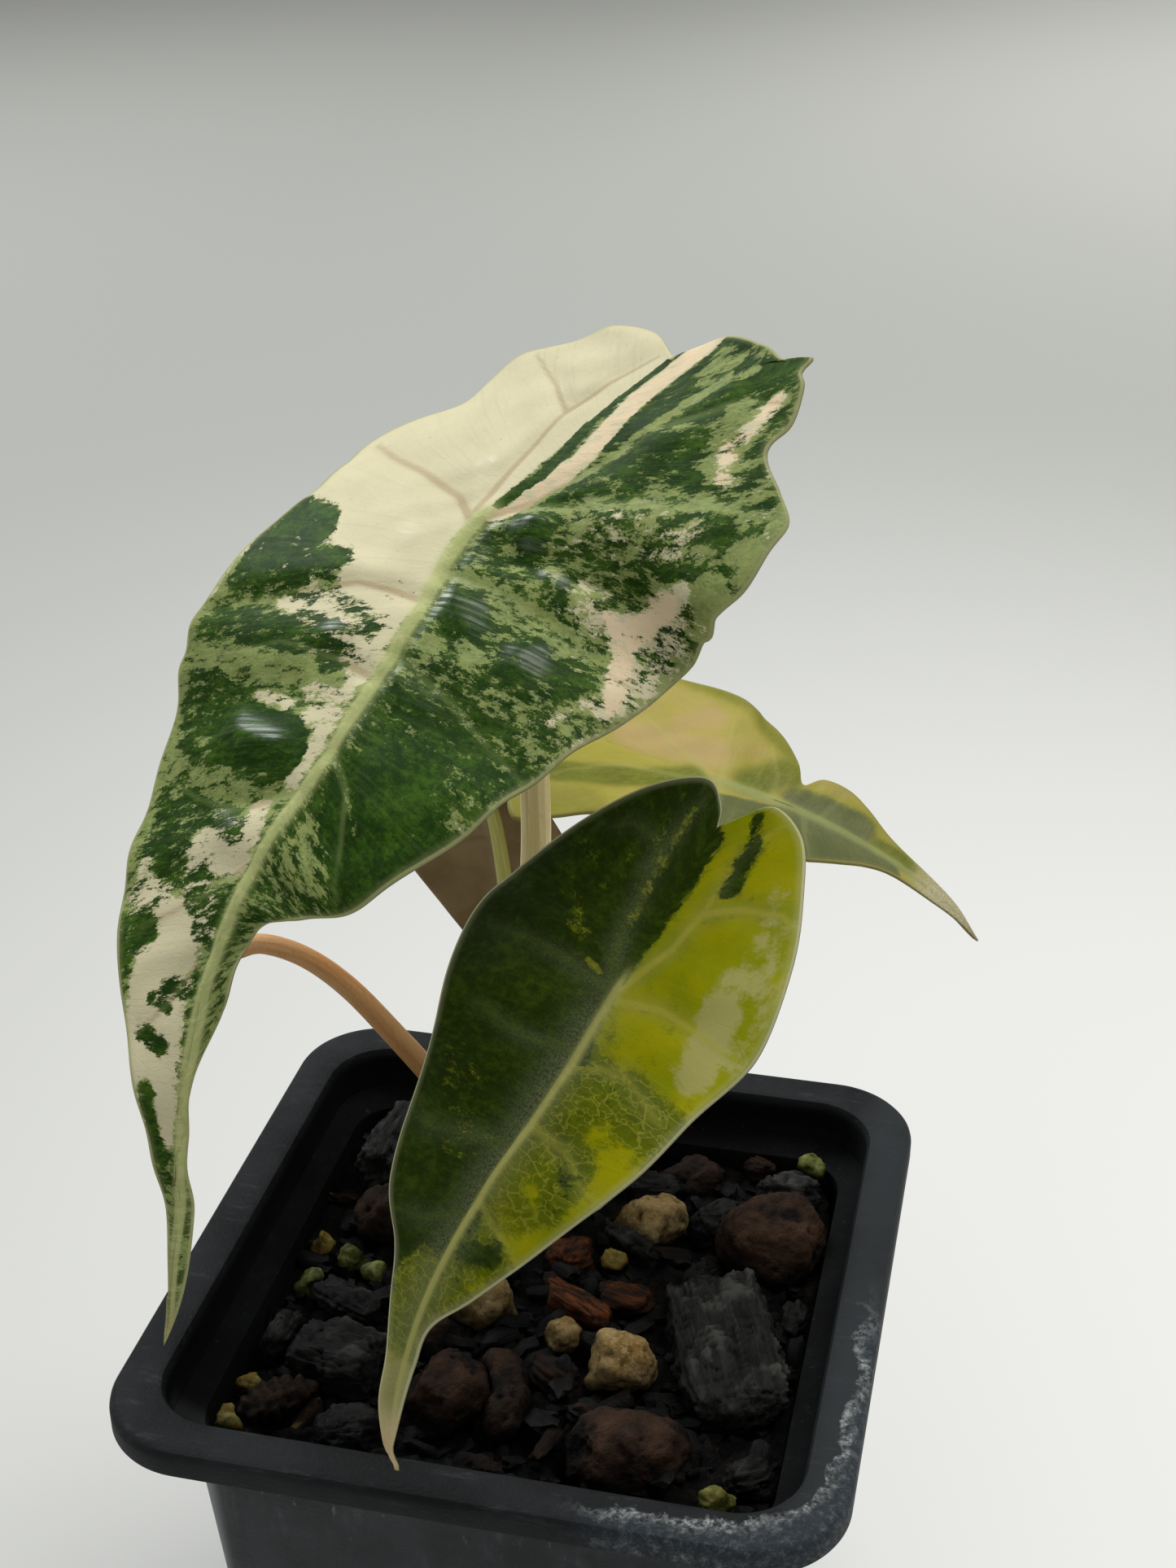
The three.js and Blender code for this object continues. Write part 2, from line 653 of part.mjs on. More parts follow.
// A thin closed body over the sheet, thicker along the rib, split alike on both faces.
function bladeSolid(leaf, grow = 0) {
  const samples = ribOf(leaf);
  const { points, faces } = sheetOf(leaf);
  const half = BLADE_THICKNESS / 2 + grow;
  const top = [];
  const under = [];
  for (const { outwards, onRib, taper, bulge, ...flat } of points) {
    const x = flat.x + outwards[0] * grow;
    const s = flat.s + outwards[1] * grow;
    const place = laidPoint(leaf, samples, x, s, bulge);
    const inwards = x > 0 ? -SLOPE_REACH : SLOPE_REACH;
    const aside = laidPoint(leaf, samples, x + inwards, s, bulge).sub(place);
    const ahead = laidPoint(leaf, samples, x, s + SLOPE_REACH, bulge).sub(place);
    const normal = ahead.cross(aside.multiplyScalar(Math.sign(inwards))).normalize();
    const ribShare = onRib ? Math.sqrt(taper) : 0;
    top.push(place.clone().addScaledVector(normal, half + RIB_TOP * ribShare));
    under.push(place.clone().addScaledVector(normal, -half - RIB_UNDERSIDE * ribShare));
  }
  const count = points.length;
  const index = [];
  const open = new Map();
  for (const [a, b, c] of faces) {
    index.push(a, b, c, count + a, count + c, count + b);
    for (const [from, to] of [[a, b], [b, c], [c, a]]) {
      if (!open.delete(`${to} ${from}`)) open.set(`${from} ${to}`, [from, to]);
    }
  }
  for (const [from, to] of open.values()) {
    index.push(from, count + to, to, from, count + from, count + to);
  }
  const geometry = new THREE.BufferGeometry().setFromPoints([...top, ...under]);
  geometry.setIndex(index);
  const solid = solidOf(geometry);
  if (solid.volume() > 0) return solid;
  geometry.index.array.reverse();
  return solidOf(geometry);
}

// A leaf stalk: a tapered cylinder laid along a curve from the rootstock up to the blade's junction.
function stalkSolid(leaf, grow = 0) {
  const places = [...leaf.stalk, leaf.rib[1].slice(0, 3)].map((place) => new THREE.Vector3(...place));
  const curve = new THREE.CatmullRomCurve3(places, false, "catmullrom", 0.5);
  const steps = Math.round(1.6 * places.length);
  const frames = curve.computeFrenetFrames(steps, false);
  const [low, high] = leaf.stalkRadii;
  const geometry = new THREE.CylinderGeometry(high + grow, low + grow, 1, STALK_SIDES, steps);
  const position = geometry.attributes.position;
  for (let i = 0; i < position.count; i++) {
    const ring = Math.round((position.getY(i) + 0.5) * steps);
    const place = curve.getPointAt(ring / steps);
    place.addScaledVector(frames.normals[ring], position.getX(i));
    place.addScaledVector(frames.binormals[ring], -position.getZ(i));
    position.setXYZ(i, place.x, place.y, place.z);
  }
  return solidOf(geometry);
}

// The rootstock: a squat turned body with a plain hole for each stalk.
function makeRootstock(stalkHoles) {
  const half = ROOTSTOCK_WIDTH / 2;
  const top = STALK_HOLE_DEPTH - MIX_DEPTH;
  const bottom = top - ROOTSTOCK_DEPTH;
  const outline = [
    [0, bottom],
    [half * 0.55, bottom + 1],
    [half * 0.95, bottom + 5],
    [half, top - 4.5],
    [half * 0.9, top - 1.2],
    [half * 0.7, top],
    [0, top + 0.6],
  ].map(([x, y]) => new THREE.Vector2(x, y));
  const body = new THREE.LatheGeometry(outline, 16).rotateX(Math.PI / 2);
  let rootstock = solidOf(body.translate(...ROOTSTOCK_CENTRE, 0));
  for (const hole of stalkHoles) rootstock = rootstock.subtract(hole);
  return rootstock;
}

function clearOf(solid, others) {
  let cleared = solid;
  for (const other of others) {
    if (cleared.intersect(other).volume() > 0) cleared = cleared.subtract(other);
  }
  return cleared;
}

const group = new THREE.Group();
group.add(named("pot", geometryOf(makePot()), COLOURS.pot, 0.55));

// Everything planted is measured from the top of the rim.
const planted = new THREE.Group();
planted.position.z = POT_HEIGHT;
group.add(planted);

const leaves = Object.entries(LEAVES);
const stalkHoles = leaves.map(([, leaf]) => stalkSolid(leaf, GAP));
const rootstock = makeRootstock(stalkHoles);
planted.add(named("rootstock", geometryOf(rootstock), COLOURS.rootstock, 0.9));

// The clear room round the rootstock, up to well above the mix.
const clearRadius = ROOTSTOCK_WIDTH / 2 + GAP;
const clearHeight = 40;
const clearMiddle = STALK_HOLE_DEPTH - MIX_DEPTH - ROOTSTOCK_DEPTH - GAP + clearHeight / 2;
const rootstockRoom = solidOf(
  new THREE.CylinderGeometry(clearRadius, clearRadius, clearHeight, 16)
    .rotateX(Math.PI / 2)
    .translate(...ROOTSTOCK_CENTRE, clearMiddle),
);

// Each loose piece gives way to those placed before it, and the mix to all of them.
const room = makeRoom();
const rooms = [rootstockRoom, ...stalkHoles];
PIECES.forEach((piece, order) => {
  const solid = biggestBody(clearOf(pieceSolid(piece, order, 0).intersect(room), rooms));
  rooms.push(pieceSolid(piece, order, GAP));
  planted.add(named(piece[0], geometryOf(solid), COLOURS[piece[1]], 0.9));
});
const mix = biggestBody(clearOf(makeMix(), rooms));
planted.add(named("mix", geometryOf(mix), COLOURS.mix, 0.95));

for (const [name, leaf] of leaves) {
  planted.add(named(`${name}_blade`, geometryOf(bladeSolid(leaf)), leaf.color, 0.4));
  const stalk = biggestBody(stalkSolid(leaf).subtract(bladeSolid(leaf, GAP)));
  planted.add(named(`${name}_stalk`, geometryOf(stalk), leaf.stalkColor, 0.5));
}

export default group;
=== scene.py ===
# A young variegated alocasia in a square black nursery pot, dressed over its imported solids.
# Sizes are in millimetres, +Z up from the pot's flat base, and turned to metres on the mesh.
# The sections follow the planting: pot, mix, loose pieces, rootstock, then leaf after leaf.
import math

import bmesh
import bpy
import numpy as np
from mathutils import Matrix, Vector, noise


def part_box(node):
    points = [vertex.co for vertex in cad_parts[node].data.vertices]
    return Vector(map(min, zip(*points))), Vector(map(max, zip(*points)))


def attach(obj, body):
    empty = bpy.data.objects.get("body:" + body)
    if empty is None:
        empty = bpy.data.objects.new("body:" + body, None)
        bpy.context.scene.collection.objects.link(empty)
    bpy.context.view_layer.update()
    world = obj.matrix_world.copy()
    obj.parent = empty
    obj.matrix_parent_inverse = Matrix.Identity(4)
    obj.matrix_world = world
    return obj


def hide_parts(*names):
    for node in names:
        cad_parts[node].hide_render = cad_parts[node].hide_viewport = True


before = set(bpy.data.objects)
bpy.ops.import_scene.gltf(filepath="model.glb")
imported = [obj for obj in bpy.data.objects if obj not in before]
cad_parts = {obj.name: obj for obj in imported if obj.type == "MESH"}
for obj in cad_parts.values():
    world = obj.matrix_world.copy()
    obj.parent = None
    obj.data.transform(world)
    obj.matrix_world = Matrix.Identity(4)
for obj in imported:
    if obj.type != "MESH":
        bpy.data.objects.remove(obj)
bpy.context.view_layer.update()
MM = 0.001

# The nursery pot: thin black polypropylene, moulded in one shot with a rolled square rim
# and eight round drain holes near the edge of its floor. It is scuffed at the rim, and
# hard water has dried on it in pale crusts and runs.
POT_HEIGHT = 82
RIM_HALF = 45
OPENING_HALF = 39.1
BODY_HALF = 36.9
BASE_HALF = 32
WALL = 1.3
STEP = POT_HEIGHT - 7.5
STRAIGHT_HALF = 29
CORNER_STEPS = 26
DRAIN_RADIUS = 3
DRAIN_PLACES = ((20, 20), (-20, 20), (-20, -20), (20, -20), (23, 0), (0, 23), (-23, 0), (0, -23))
POT_PROFILE = (
    # half width, height, corner radius
    (0, 0, 0),
    (BASE_HALF - 1, 0, 6),
    (BASE_HALF - 0.3, 0.3, 6.4),
    (BASE_HALF, 1, 6.5),
    (BODY_HALF, STEP - 1.2, 7.5),
    (BODY_HALF + 0.5, STEP - 0.5, 7.7),
    (OPENING_HALF + WALL - 0.3, STEP + 0.1, 8.3),
    (OPENING_HALF + WALL, STEP + 0.8, 8.5),
    (OPENING_HALF + WALL, POT_HEIGHT - 1.4, 8.5),
    (RIM_HALF - 1.2, POT_HEIGHT - 1.4, 10.5),
    (RIM_HALF - 1.2, POT_HEIGHT - 3.6, 10.5),
    (RIM_HALF - 0.1, POT_HEIGHT - 3.6, 11.4),
    (RIM_HALF, POT_HEIGHT - 3.4, 11.5),
    (RIM_HALF, POT_HEIGHT - 1.2, 11.5),
    (RIM_HALF - 0.12, POT_HEIGHT - 0.7, 11.4),
    (RIM_HALF - 0.45, POT_HEIGHT - 0.25, 11.2),
    (RIM_HALF - 1.1, POT_HEIGHT, 10.8),
    (OPENING_HALF + 1, POT_HEIGHT, 8.9),
    (OPENING_HALF + 0.4, POT_HEIGHT - 0.2, 8.4),
    (OPENING_HALF, POT_HEIGHT - 0.9, 8),
    (OPENING_HALF - 0.3, STEP + 1.2, 7.8),
    (BODY_HALF - WALL, STEP - 0.2, 6.8),
    (BASE_HALF - WALL, 1.6, 5.5),
    (0, 1.6, 0),
)


class Strand:
    """The output of a shader node. Sums on strands add the Math nodes that work them out."""

    def __init__(self, tree, socket=None):
        self.tree = tree
        self.socket = socket

    def node(self, kind, settings=(), values=(), output=0):
        made = self.tree.nodes.new(kind)
        for key, value in dict(settings).items():
            setattr(made, key, value)
        for key, value in dict(values).items():
            if isinstance(value, Strand):
                self.tree.links.new(value.socket, made.inputs[key])
            else:
                made.inputs[key].default_value = value
        return Strand(self.tree, made.outputs[output])

    def math(self, operation, *values):
        return self.node("ShaderNodeMath", {"operation": operation}, enumerate(values))

    def __add__(self, other):
        return self.math("ADD", self, other)

    def __radd__(self, other):
        return self.math("ADD", other, self)

    def __sub__(self, other):
        return self.math("SUBTRACT", self, other)

    def __rsub__(self, other):
        return self.math("SUBTRACT", other, self)

    def __mul__(self, other):
        return self.math("MULTIPLY", self, other)

    def __rmul__(self, other):
        return self.math("MULTIPLY", other, self)

    def step(self, low, high):
        """0 below low, 1 above high, and smooth between."""
        ends = {0: self, 1: low, 2: high}
        return self.node("ShaderNodeMapRange", {"interpolation_type": "SMOOTHSTEP"}, ends)

    def part(self, number):
        return self.node("ShaderNodeSeparateXYZ", {}, {0: self}, number)

    def stretched(self, *scale):
        return self.node("ShaderNodeVectorMath", {"operation": "MULTIPLY"}, {0: self, 1: scale})

    def cloud(self, scale, detail=4, roughness=0.6):
        values = {"Vector": self, "Scale": scale, "Detail": detail, "Roughness": roughness}
        return self.node("ShaderNodeTexNoise", {}, values)

    def cells(self, scale, feature="F1", output=0):
        settings = {"feature": feature}
        return self.node("ShaderNodeTexVoronoi", settings, {"Vector": self, "Scale": scale}, output)

    def blend(self, first, second):
        """The first tone where this mask is 0, the second where it is 1."""
        values = {0: self, 6: colour(first), 7: colour(second)}
        return self.node("ShaderNodeMix", {"data_type": "RGBA"}, values, 2)


def colour(tone):
    """A tone for a socket: a strand as it is, and a web code in Blender's linear values."""
    if isinstance(tone, Strand):
        return tone
    parts = [int(tone[i : i + 2], 16) / 255 for i in (0, 2, 4)]
    return (*[((p + 0.055) / 1.055) ** 2.4 if p > 0.04 else p / 12.92 for p in parts], 1.0)


def layered(tone, *layers):
    """A tone with others laid over it in turn, each where its mask is 1."""
    for mask, over in layers:
        tone = mask.blend(tone, over)
    return tone


def new_finish(name):
    """An empty material, and a strand to begin its nodes with."""
    material = bpy.data.materials.new(name)
    material.use_nodes = True
    material.node_tree.nodes.clear()
    return material, Strand(material.node_tree)


def close_finish(start, values, relief=None, depth=0.1):
    """Ends a material with its Principled shader, bumped by relief over depth in millimetres."""
    if relief is not None:
        bump = {"Height": relief, "Distance": depth * MM, "Strength": 1.0}
        values = {**values, "Normal": start.node("ShaderNodeBump", {}, bump)}
    shader = start.node("ShaderNodeBsdfPrincipled", {}, values)
    output = start.tree.nodes.new("ShaderNodeOutputMaterial")
    start.tree.links.new(shader.socket, output.inputs[0])


def object_space(start):
    """Places on the object in millimetres."""
    places = start.node("ShaderNodeTexCoord", {}, {}, "Object")
    return places.stretched(1 / MM, 1 / MM, 1 / MM)


def attribute(start, name):
    return start.node("ShaderNodeAttribute", {"attribute_name": name}, {}, "Vector")


def piece_of(mesh, name, sharp=None):
    """Turns a bmesh into a smooth object, sharp where its faces meet at more than sharp degrees."""
    data = bpy.data.meshes.new(name)
    for face in mesh.faces:
        face.smooth = True
    mesh.to_mesh(data)
    mesh.free()
    if sharp:
        data.set_sharp_from_angle(angle=math.radians(sharp))
    made = bpy.data.objects.new(name, data)
    bpy.context.scene.collection.objects.link(made)
    return made


def bent_grid(places, fields=()):
    """A bmesh grid bent to rows and columns of places in millimetres, and welded where it meets."""
    rows, columns = places.shape[:2]
    mesh = bmesh.new()
    layers = [(mesh.verts.layers.float_vector.new(key), value) for key, value in dict(fields).items()]
    bmesh.ops.create_grid(mesh, x_segments=columns - 1, y_segments=rows - 1, size=1)
    for vertex in mesh.verts:
        row = round((vertex.co.y + 1) / 2 * (rows - 1))
        column = round((vertex.co.x + 1) / 2 * (columns - 1))
        vertex.co = places[row, column] * MM
        for layer, value in layers:
            vertex[layer] = value[row, column]
    bmesh.ops.remove_doubles(mesh, verts=mesh.verts, dist=1e-6)
    bmesh.ops.dissolve_degenerate(mesh, edges=mesh.edges, dist=1e-7)
    bmesh.ops.recalc_face_normals(mesh, faces=mesh.faces)
    return mesh


def square_ring(half, height, radius):
    """Places round a square with round corners, at a height, from one corner back to it."""
    places = []
    middle = max(half - radius, 0)
    for side in range(4):
        for step in range(CORNER_STEPS + 1):
            turn = math.pi / 2 * step / CORNER_STEPS
            place = Vector((math.cos(turn), math.sin(turn))) * min(radius, half)
            place += Vector((middle, middle))
            place.rotate(Matrix.Rotation(side * math.pi / 2, 2))
            places.append((*place, height))
    return places + places[:1]


pot = piece_of(bent_grid(np.array([square_ring(*row) for row in POT_PROFILE])), "pot_shell")

drain_mesh = bmesh.new()
for x, y in DRAIN_PLACES:
    size = {"radius1": DRAIN_RADIUS * MM, "radius2": DRAIN_RADIUS * MM, "depth": 6 * MM}
    at = Matrix.Translation((x * MM, y * MM, 0))
    bmesh.ops.create_cone(drain_mesh, cap_ends=True, segments=28, matrix=at, **size)
drains = piece_of(drain_mesh, "drain_cutter")
cut = pot.modifiers.new("drains", "BOOLEAN")
cut.operation = "DIFFERENCE"
cut.object = drains
bpy.context.view_layer.update()
drained = bpy.data.meshes.new_from_object(pot.evaluated_get(bpy.context.evaluated_depsgraph_get()))
pot.modifiers.clear()
pot.data = drained
pot.data.set_sharp_from_angle(angle=math.radians(32))
bpy.data.objects.remove(drains)

pot_finish, start = new_finish("black polypropylene")
at = object_space(start)
across, depth_way, height = at.part(0), at.part(1), at.part(2)
mottle = at.cloud(0.09, 5)
grit = at.cloud(2.2, 4, 0.7)
runs = at.stretched(1, 1, 0.09).cloud(0.42, 6, 0.75)
scratches = at.stretched(0.12, 0.5, 1).cloud(1.1, 5, 0.75)
past = [side.math("ABSOLUTE", side) - STRAIGHT_HALF for side in (across, depth_way)]
past = [side.math("MAXIMUM", side, 0) for side in past]
wall_side = STRAIGHT_HALF + at.math("SQRT", past[0] * past[0] + past[1] * past[1])
rim_zone = height.step(POT_HEIGHT - 5.5, POT_HEIGHT - 1.5)
body = height.step(POT_HEIGHT - 3, POT_HEIGHT - 6)
# The inside of the wall, from the floor to just under the lip, is painted near black as shade.
inner_edge = BASE_HALF - 0.7 + height * 0.067 + height.step(STEP - 0.5, STEP + 0.7) * 3.6
painted_inner_shade = (inner_edge - wall_side).step(-0.3, 0.3) * height.step(POT_HEIGHT - 0.4, POT_HEIGHT - 2)
near_zone = depth_way.step(-37.5, -42)
right_zone = across.step(36, 42)
crust_zone = near_zone * across.step(9, 28) + right_zone * depth_way.step(8, -26)
crust_zone = crust_zone.step(0, 0.8) * rim_zone
wander = at.cloud(0.16, 6, 0.7)
tide = wall_side - RIM_HALF + 3 - right_zone * depth_way.step(-34, -20) * 1.1 + (wander - 0.5) * 8
powder = at.cloud(1.1, 9, 0.8)
bloom = tide.step(0.1, 1.1) * crust_zone
crust_line = tide.step(-0.5, 0.1) * tide.step(1.9, 0.2) * powder.step(0.36, 0.56)
lip_line = height.step(POT_HEIGHT - 3.8, POT_HEIGHT - 2.8) * height.step(POT_HEIGHT - 1.2, POT_HEIGHT - 2.2)
lip_line = lip_line * powder.step(0.44, 0.62)
crystals = crust_line * mottle * 1.5 + lip_line * 0.35 + powder.step(0.47, 0.62) * bloom * 0.16
crystals = crystals * crust_zone
scuff = scratches.step(0.55, 0.72) * rim_zone * (0.12 + 0.5 * mottle)
streak = runs.step(0.5, 0.74) * body * mottle.step(0.38, 0.6) * (0.15 + 0.85 * height.step(44, 70))
spots = at.stretched(1, 1, 0.3).cloud(0.9, 7, 0.8).step(0.6, 0.68) * body * height.step(58, 74)
# A painted glint: a pale strip down the rounded near-left corner of the wall.
corner = across.step(-31.5, -34.5) * depth_way.step(-29, -32) * body
plastic = layered(
    mottle.step(0.3, 0.7).blend("131516", "232628"),
    # painted light: the wall below the rim is the same plastic, painted lighter than the rim for the light
    # it catches
    (body * 0.8, mottle.step(0.3, 0.7).blend("2e3032", "414447")),
    (scuff, "4a4e52"),
    # painted light: the right rim painted lighter, for the light falling on it
    (right_zone * rim_zone * (0.3 + 0.6 * mottle), "33373a"),
    (streak * 0.6, "606468"),
    (spots * 0.6, "a4a9ac"),
    # painted glint on the near-left corner
    (corner * 0.6, "9a9ea2"),
    (bloom * 0.75, powder.step(0.4, 0.62).blend("2c3338", "444e57")),
    (crystals, "a7abac"),
    (grit.step(0.66, 0.74) * 0.25, "55585a"),
    # painted shade: the inside of the pot near black
    (painted_inner_shade * 0.85, "010101"),
)
roughness = 0.44 + 0.22 * mottle + 0.25 * crystals + 0.1 * streak + 0.4 * painted_inner_shade
values = {"Base Color": plastic, "Roughness": roughness, "Specular IOR Level": 0.12}
close_finish(start, values, grit + scratches * 0.6 + crystals * 1.4 + bloom * 0.5, 0.16)
pot.data.materials.append(pot_finish)
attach(pot, "root")
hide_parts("pot")

# The mix: damp bark fines, fibre and charcoal dust packed into the pot up to about 11 mm
# under its rim. Between the chunks it is nearly black, partly its own dark colour and partly
# painted shade, darkest in the cracks between its crumbs; it is crumbly and uneven.
MIX_TOP = POT_HEIGHT - 11
MIX_STEPS = 150


def mix_height(x, y):
    """Height of the mix's surface, in millimetres over the pot's base."""
    swell = noise.noise(Vector((x * 0.09, y * 0.09, 3.1))) * 2.2
    lumps = abs(noise.noise(Vector((x * 0.3, y * 0.3, 7.7)))) * 2.6
    crumbs = abs(noise.noise(Vector((x * 0.85, y * 0.85, 1.9)))) * 1.1
    return MIX_TOP - 1.2 + swell + lumps + crumbs


mix_mesh = bmesh.new()
mix_half = BODY_HALF - WALL - 0.4
bmesh.ops.create_grid(mix_mesh, x_segments=MIX_STEPS, y_segments=MIX_STEPS, size=1)
for vertex in mix_mesh.verts:
    u, v = vertex.co.x, vertex.co.y
    inset = 1 - 0.06 * (u * v) ** 6
    x, y = u * mix_half * inset, v * mix_half * inset
    vertex.co = Vector((x, y, mix_height(x, y))) * MM
edge = [e for e in mix_mesh.edges if e.is_boundary]
for low, shrink in ((MIX_TOP - 6, 0.99), (2, 0.865)):
    skirt = bmesh.ops.extrude_edge_only(mix_mesh, edges=edge)["geom"]
    for vertex in [g for g in skirt if isinstance(g, bmesh.types.BMVert)]:
        vertex.co = (vertex.co.x * shrink, vertex.co.y * shrink, low * MM)
    edge = [g for g in skirt if isinstance(g, bmesh.types.BMEdge)]
bmesh.ops.contextual_create(mix_mesh, geom=edge)
bmesh.ops.recalc_face_normals(mix_mesh, faces=mix_mesh.faces)
mix = piece_of(mix_mesh, "mix_bed")

mix_finish, start = new_finish("damp growing mix")
at = object_space(start)
crumb_tint = at.cells(0.55, output="Color").part(0)
crumb_gap = at.cells(0.55, "DISTANCE_TO_EDGE")
fibre = at.stretched(0.5, 1.4, 1).cloud(1.6, 6, 0.75)
soil = layered(
    crumb_tint.step(0.2, 0.95).blend("040404", "120e0b"),
    (crumb_tint.step(0.86, 0.9) * 0.6, "22170f"),
    (fibre.step(0.55, 0.8), "18130f"),
    # painted shade in the cracks between the crumbs
    (crumb_gap.step(0.12, 0), "020202"),
)
values = {"Base Color": soil, "Roughness": 0.75 + 0.2 * fibre, "Specular IOR Level": 0.15}
close_finish(start, values, fibre + crumb_gap, 0.9)
mix.data.materials.append(mix_finish)
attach(mix, "root")
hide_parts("mix")

# The loose pieces over the mix: charcoal, fired clay, pumice, bark and fertiliser grains.
# Each keeps the form of its solid, and gets the surface of what it is: wood grain and
# cracks in charcoal, pits in clay and pumice, layers in bark.
VOXEL = 0.42
FINE_VOXEL = 0.28
SEEDS = 97


def spread(seed):
    """A repeatable number from 0 to 1."""
    value = math.sin(seed * 91.7 + 47.3) * 24634.6345
    return value - math.floor(value)


def cleave(mesh, cuts, seed, keep):
    """Breaks flat faces off a chunk: each cut keeps that share of the way from its middle."""
    for cut in range(cuts):
        around, rise = spread(seed + cut * 3) * 6.283, spread(seed + cut * 3 + 1) * 1.8 - 0.8
        way = Vector((math.cos(around), math.sin(around), rise)).normalized()
        middle = sum((v.co for v in mesh.verts), Vector()) / len(mesh.verts)
        reach = max((v.co - middle) @ way for v in mesh.verts)
        share = keep + (1 - keep) * spread(seed + cut * 3 + 2)
        plane = {"plane_co": middle + way * reach * share, "plane_no": way}
        parts = [*mesh.verts, *mesh.edges, *mesh.faces]
        bmesh.ops.bisect_plane(mesh, geom=parts, clear_outer=True, **plane)
        bmesh.ops.holes_fill(mesh, edges=[e for e in mesh.edges if e.is_boundary])


def worn_piece(node, name, relief, voxel=VOXEL, cuts=0, keep=1):
    """A closed, finer copy of a CAD node's form, cleaved, with relief(place, seed) pressed in."""
    source = bmesh.new()
    source.from_mesh(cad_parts[node].data)
    bmesh.ops.remove_doubles(source, verts=source.verts, dist=1e-6)
    seed = sum(ord(letter) * (i + 3) for i, letter in enumerate(node)) % SEEDS
    cleave(source, cuts, seed * 11, keep)
    coarse = piece_of(source, name + "_coarse")
    remesh = coarse.modifiers.new("even faces", "REMESH")
    remesh.mode = "VOXEL"
    remesh.voxel_size = voxel * MM
    bpy.context.view_layer.update()
    even = coarse.evaluated_get(bpy.context.evaluated_depsgraph_get()).to_mesh()
    mesh = bmesh.new()
    mesh.from_mesh(even)
    bpy.data.objects.remove(coarse)
    every_way = {"use_axis_x": True, "use_axis_y": True, "use_axis_z": True}
    bmesh.ops.smooth_vert(mesh, verts=mesh.verts, factor=0.5, **every_way)
    places = np.array([vertex.co for vertex in mesh.verts]) / MM
    middle = places.mean(axis=0)
    axes = np.linalg.svd(places - middle, full_matrices=False)[2]
    local = (places - middle) @ axes.T
    grain = mesh.verts.layers.float_vector.new("grain")
    relief_and_seed = mesh.verts.layers.float_vector.new("relief_and_seed")
    mesh.normal_update()
    pushes = [relief(Vector(p), seed) for p in local]
    for vertex, place, push in zip(list(mesh.verts), local, pushes):
        vertex[grain] = (place[0] + seed * 13, place[1] + seed * 7, place[2])
        vertex[relief_and_seed] = (push, seed / SEEDS, 0)
        vertex.co += vertex.normal * push * MM
    return piece_of(mesh, name)


def rumple(place, scale, octaves=4):
    return noise.fractal(place * scale, 1.0, 2.1, octaves)


def charcoal_relief(p, seed):
    shift = Vector((seed * 3.1, seed * 1.7, seed * 0.9))
    fibres = noise.noise(Vector((p.x * 0.09, p.y * 1.15, p.z * 1.15)) + shift)
    fine = noise.noise(Vector((p.x * 0.2, p.y * 3.0, p.z * 3.0)) + shift)
    breaks = abs(noise.noise(Vector((p.x * 0.42, p.y * 0.12, p.z * 0.12)) + shift))
    crack = max(0.0, 1 - breaks / 0.035)
    ridges = 0.35 - abs(fibres) * 1.5
    return 0.6 * ridges + 0.3 * fine - 0.7 * crack + 0.7 * rumple(p + shift, 0.3) - 0.1


def clay_relief(p, seed):
    shift = Vector((seed * 2.3, seed * 1.1, seed * 0.7))
    pit = max(0.0, 0.34 - noise.voronoi(p * 0.5 + shift)[0][0]) * 3
    dents = rumple(p + shift, 0.22, 5)
    return 0.9 * dents - 0.6 * pit + 0.2 * noise.noise(p * 2.2 + shift)


def pumice_relief(p, seed):
    shift = Vector((seed * 1.9, seed * 0.8, seed * 2.4))
    facet = noise.voronoi(p * 0.28 + shift)[0]
    edge = facet[1] - facet[0]
    pit = max(0.0, 0.25 - noise.voronoi(p * 1.1 + shift)[0][0]) * 1.6
    return 0.6 * min(edge, 0.6) + 0.34 * rumple(p + shift, 0.7, 6) - 0.5 * pit - 0.1


def bark_relief(p, seed):
    shift = Vector((seed * 2.9, seed * 1.3, seed * 0.4))
    layers = noise.noise(Vector((p.x * 0.16, p.y * 0.5, p.z * 2.4)) + shift)
    fibres = noise.noise(Vector((p.x * 0.3, p.y * 2.4, p.z * 1.2)) + shift)
    return 0.4 * layers + 0.28 * fibres + 0.25 * rumple(p + shift, 0.5)


def scale_relief(p, seed):
    teeth = abs(math.sin(p.x * 2.1 + 0.8 * noise.noise(p * 0.4)))
    return 0.7 * teeth - 0.55 + 0.5 * rumple(p, 0.8)


def grain_relief(p, seed):
    shift = Vector((seed * 1.2, seed * 2.2, seed * 0.5))
    facet = noise.voronoi(p * 0.42 + shift)[0]
    return 0.45 * min(facet[1] - facet[0], 0.7) + 0.4 * rumple(p + shift, 0.5) - 0.15


def chunk_finish(name):
    """A loose piece's material, with its places along the grain, its relief and its seed."""
    made, start = new_finish(name)
    relief_and_seed = attribute(start, "relief_and_seed")
    return made, start, attribute(start, "grain"), relief_and_seed.part(0), relief_and_seed.part(1)


def close_chunk(start, tone, roughness, relief, depth, bed_shade=0.88):
    """Ends a loose piece's material, with painted shade that darkens it towards the bed of the mix."""
    # Painted shade: the lower a place sits, the nearer black it is painted.
    deep = object_space(start).part(2).step(POT_HEIGHT - 3.5, MIX_TOP + 0.5)
    tone = (deep * bed_shade).blend(tone, "010101")
    values = {"Base Color": tone, "Roughness": roughness, "Specular IOR Level": 0.14}
    close_finish(start, values, relief, depth)


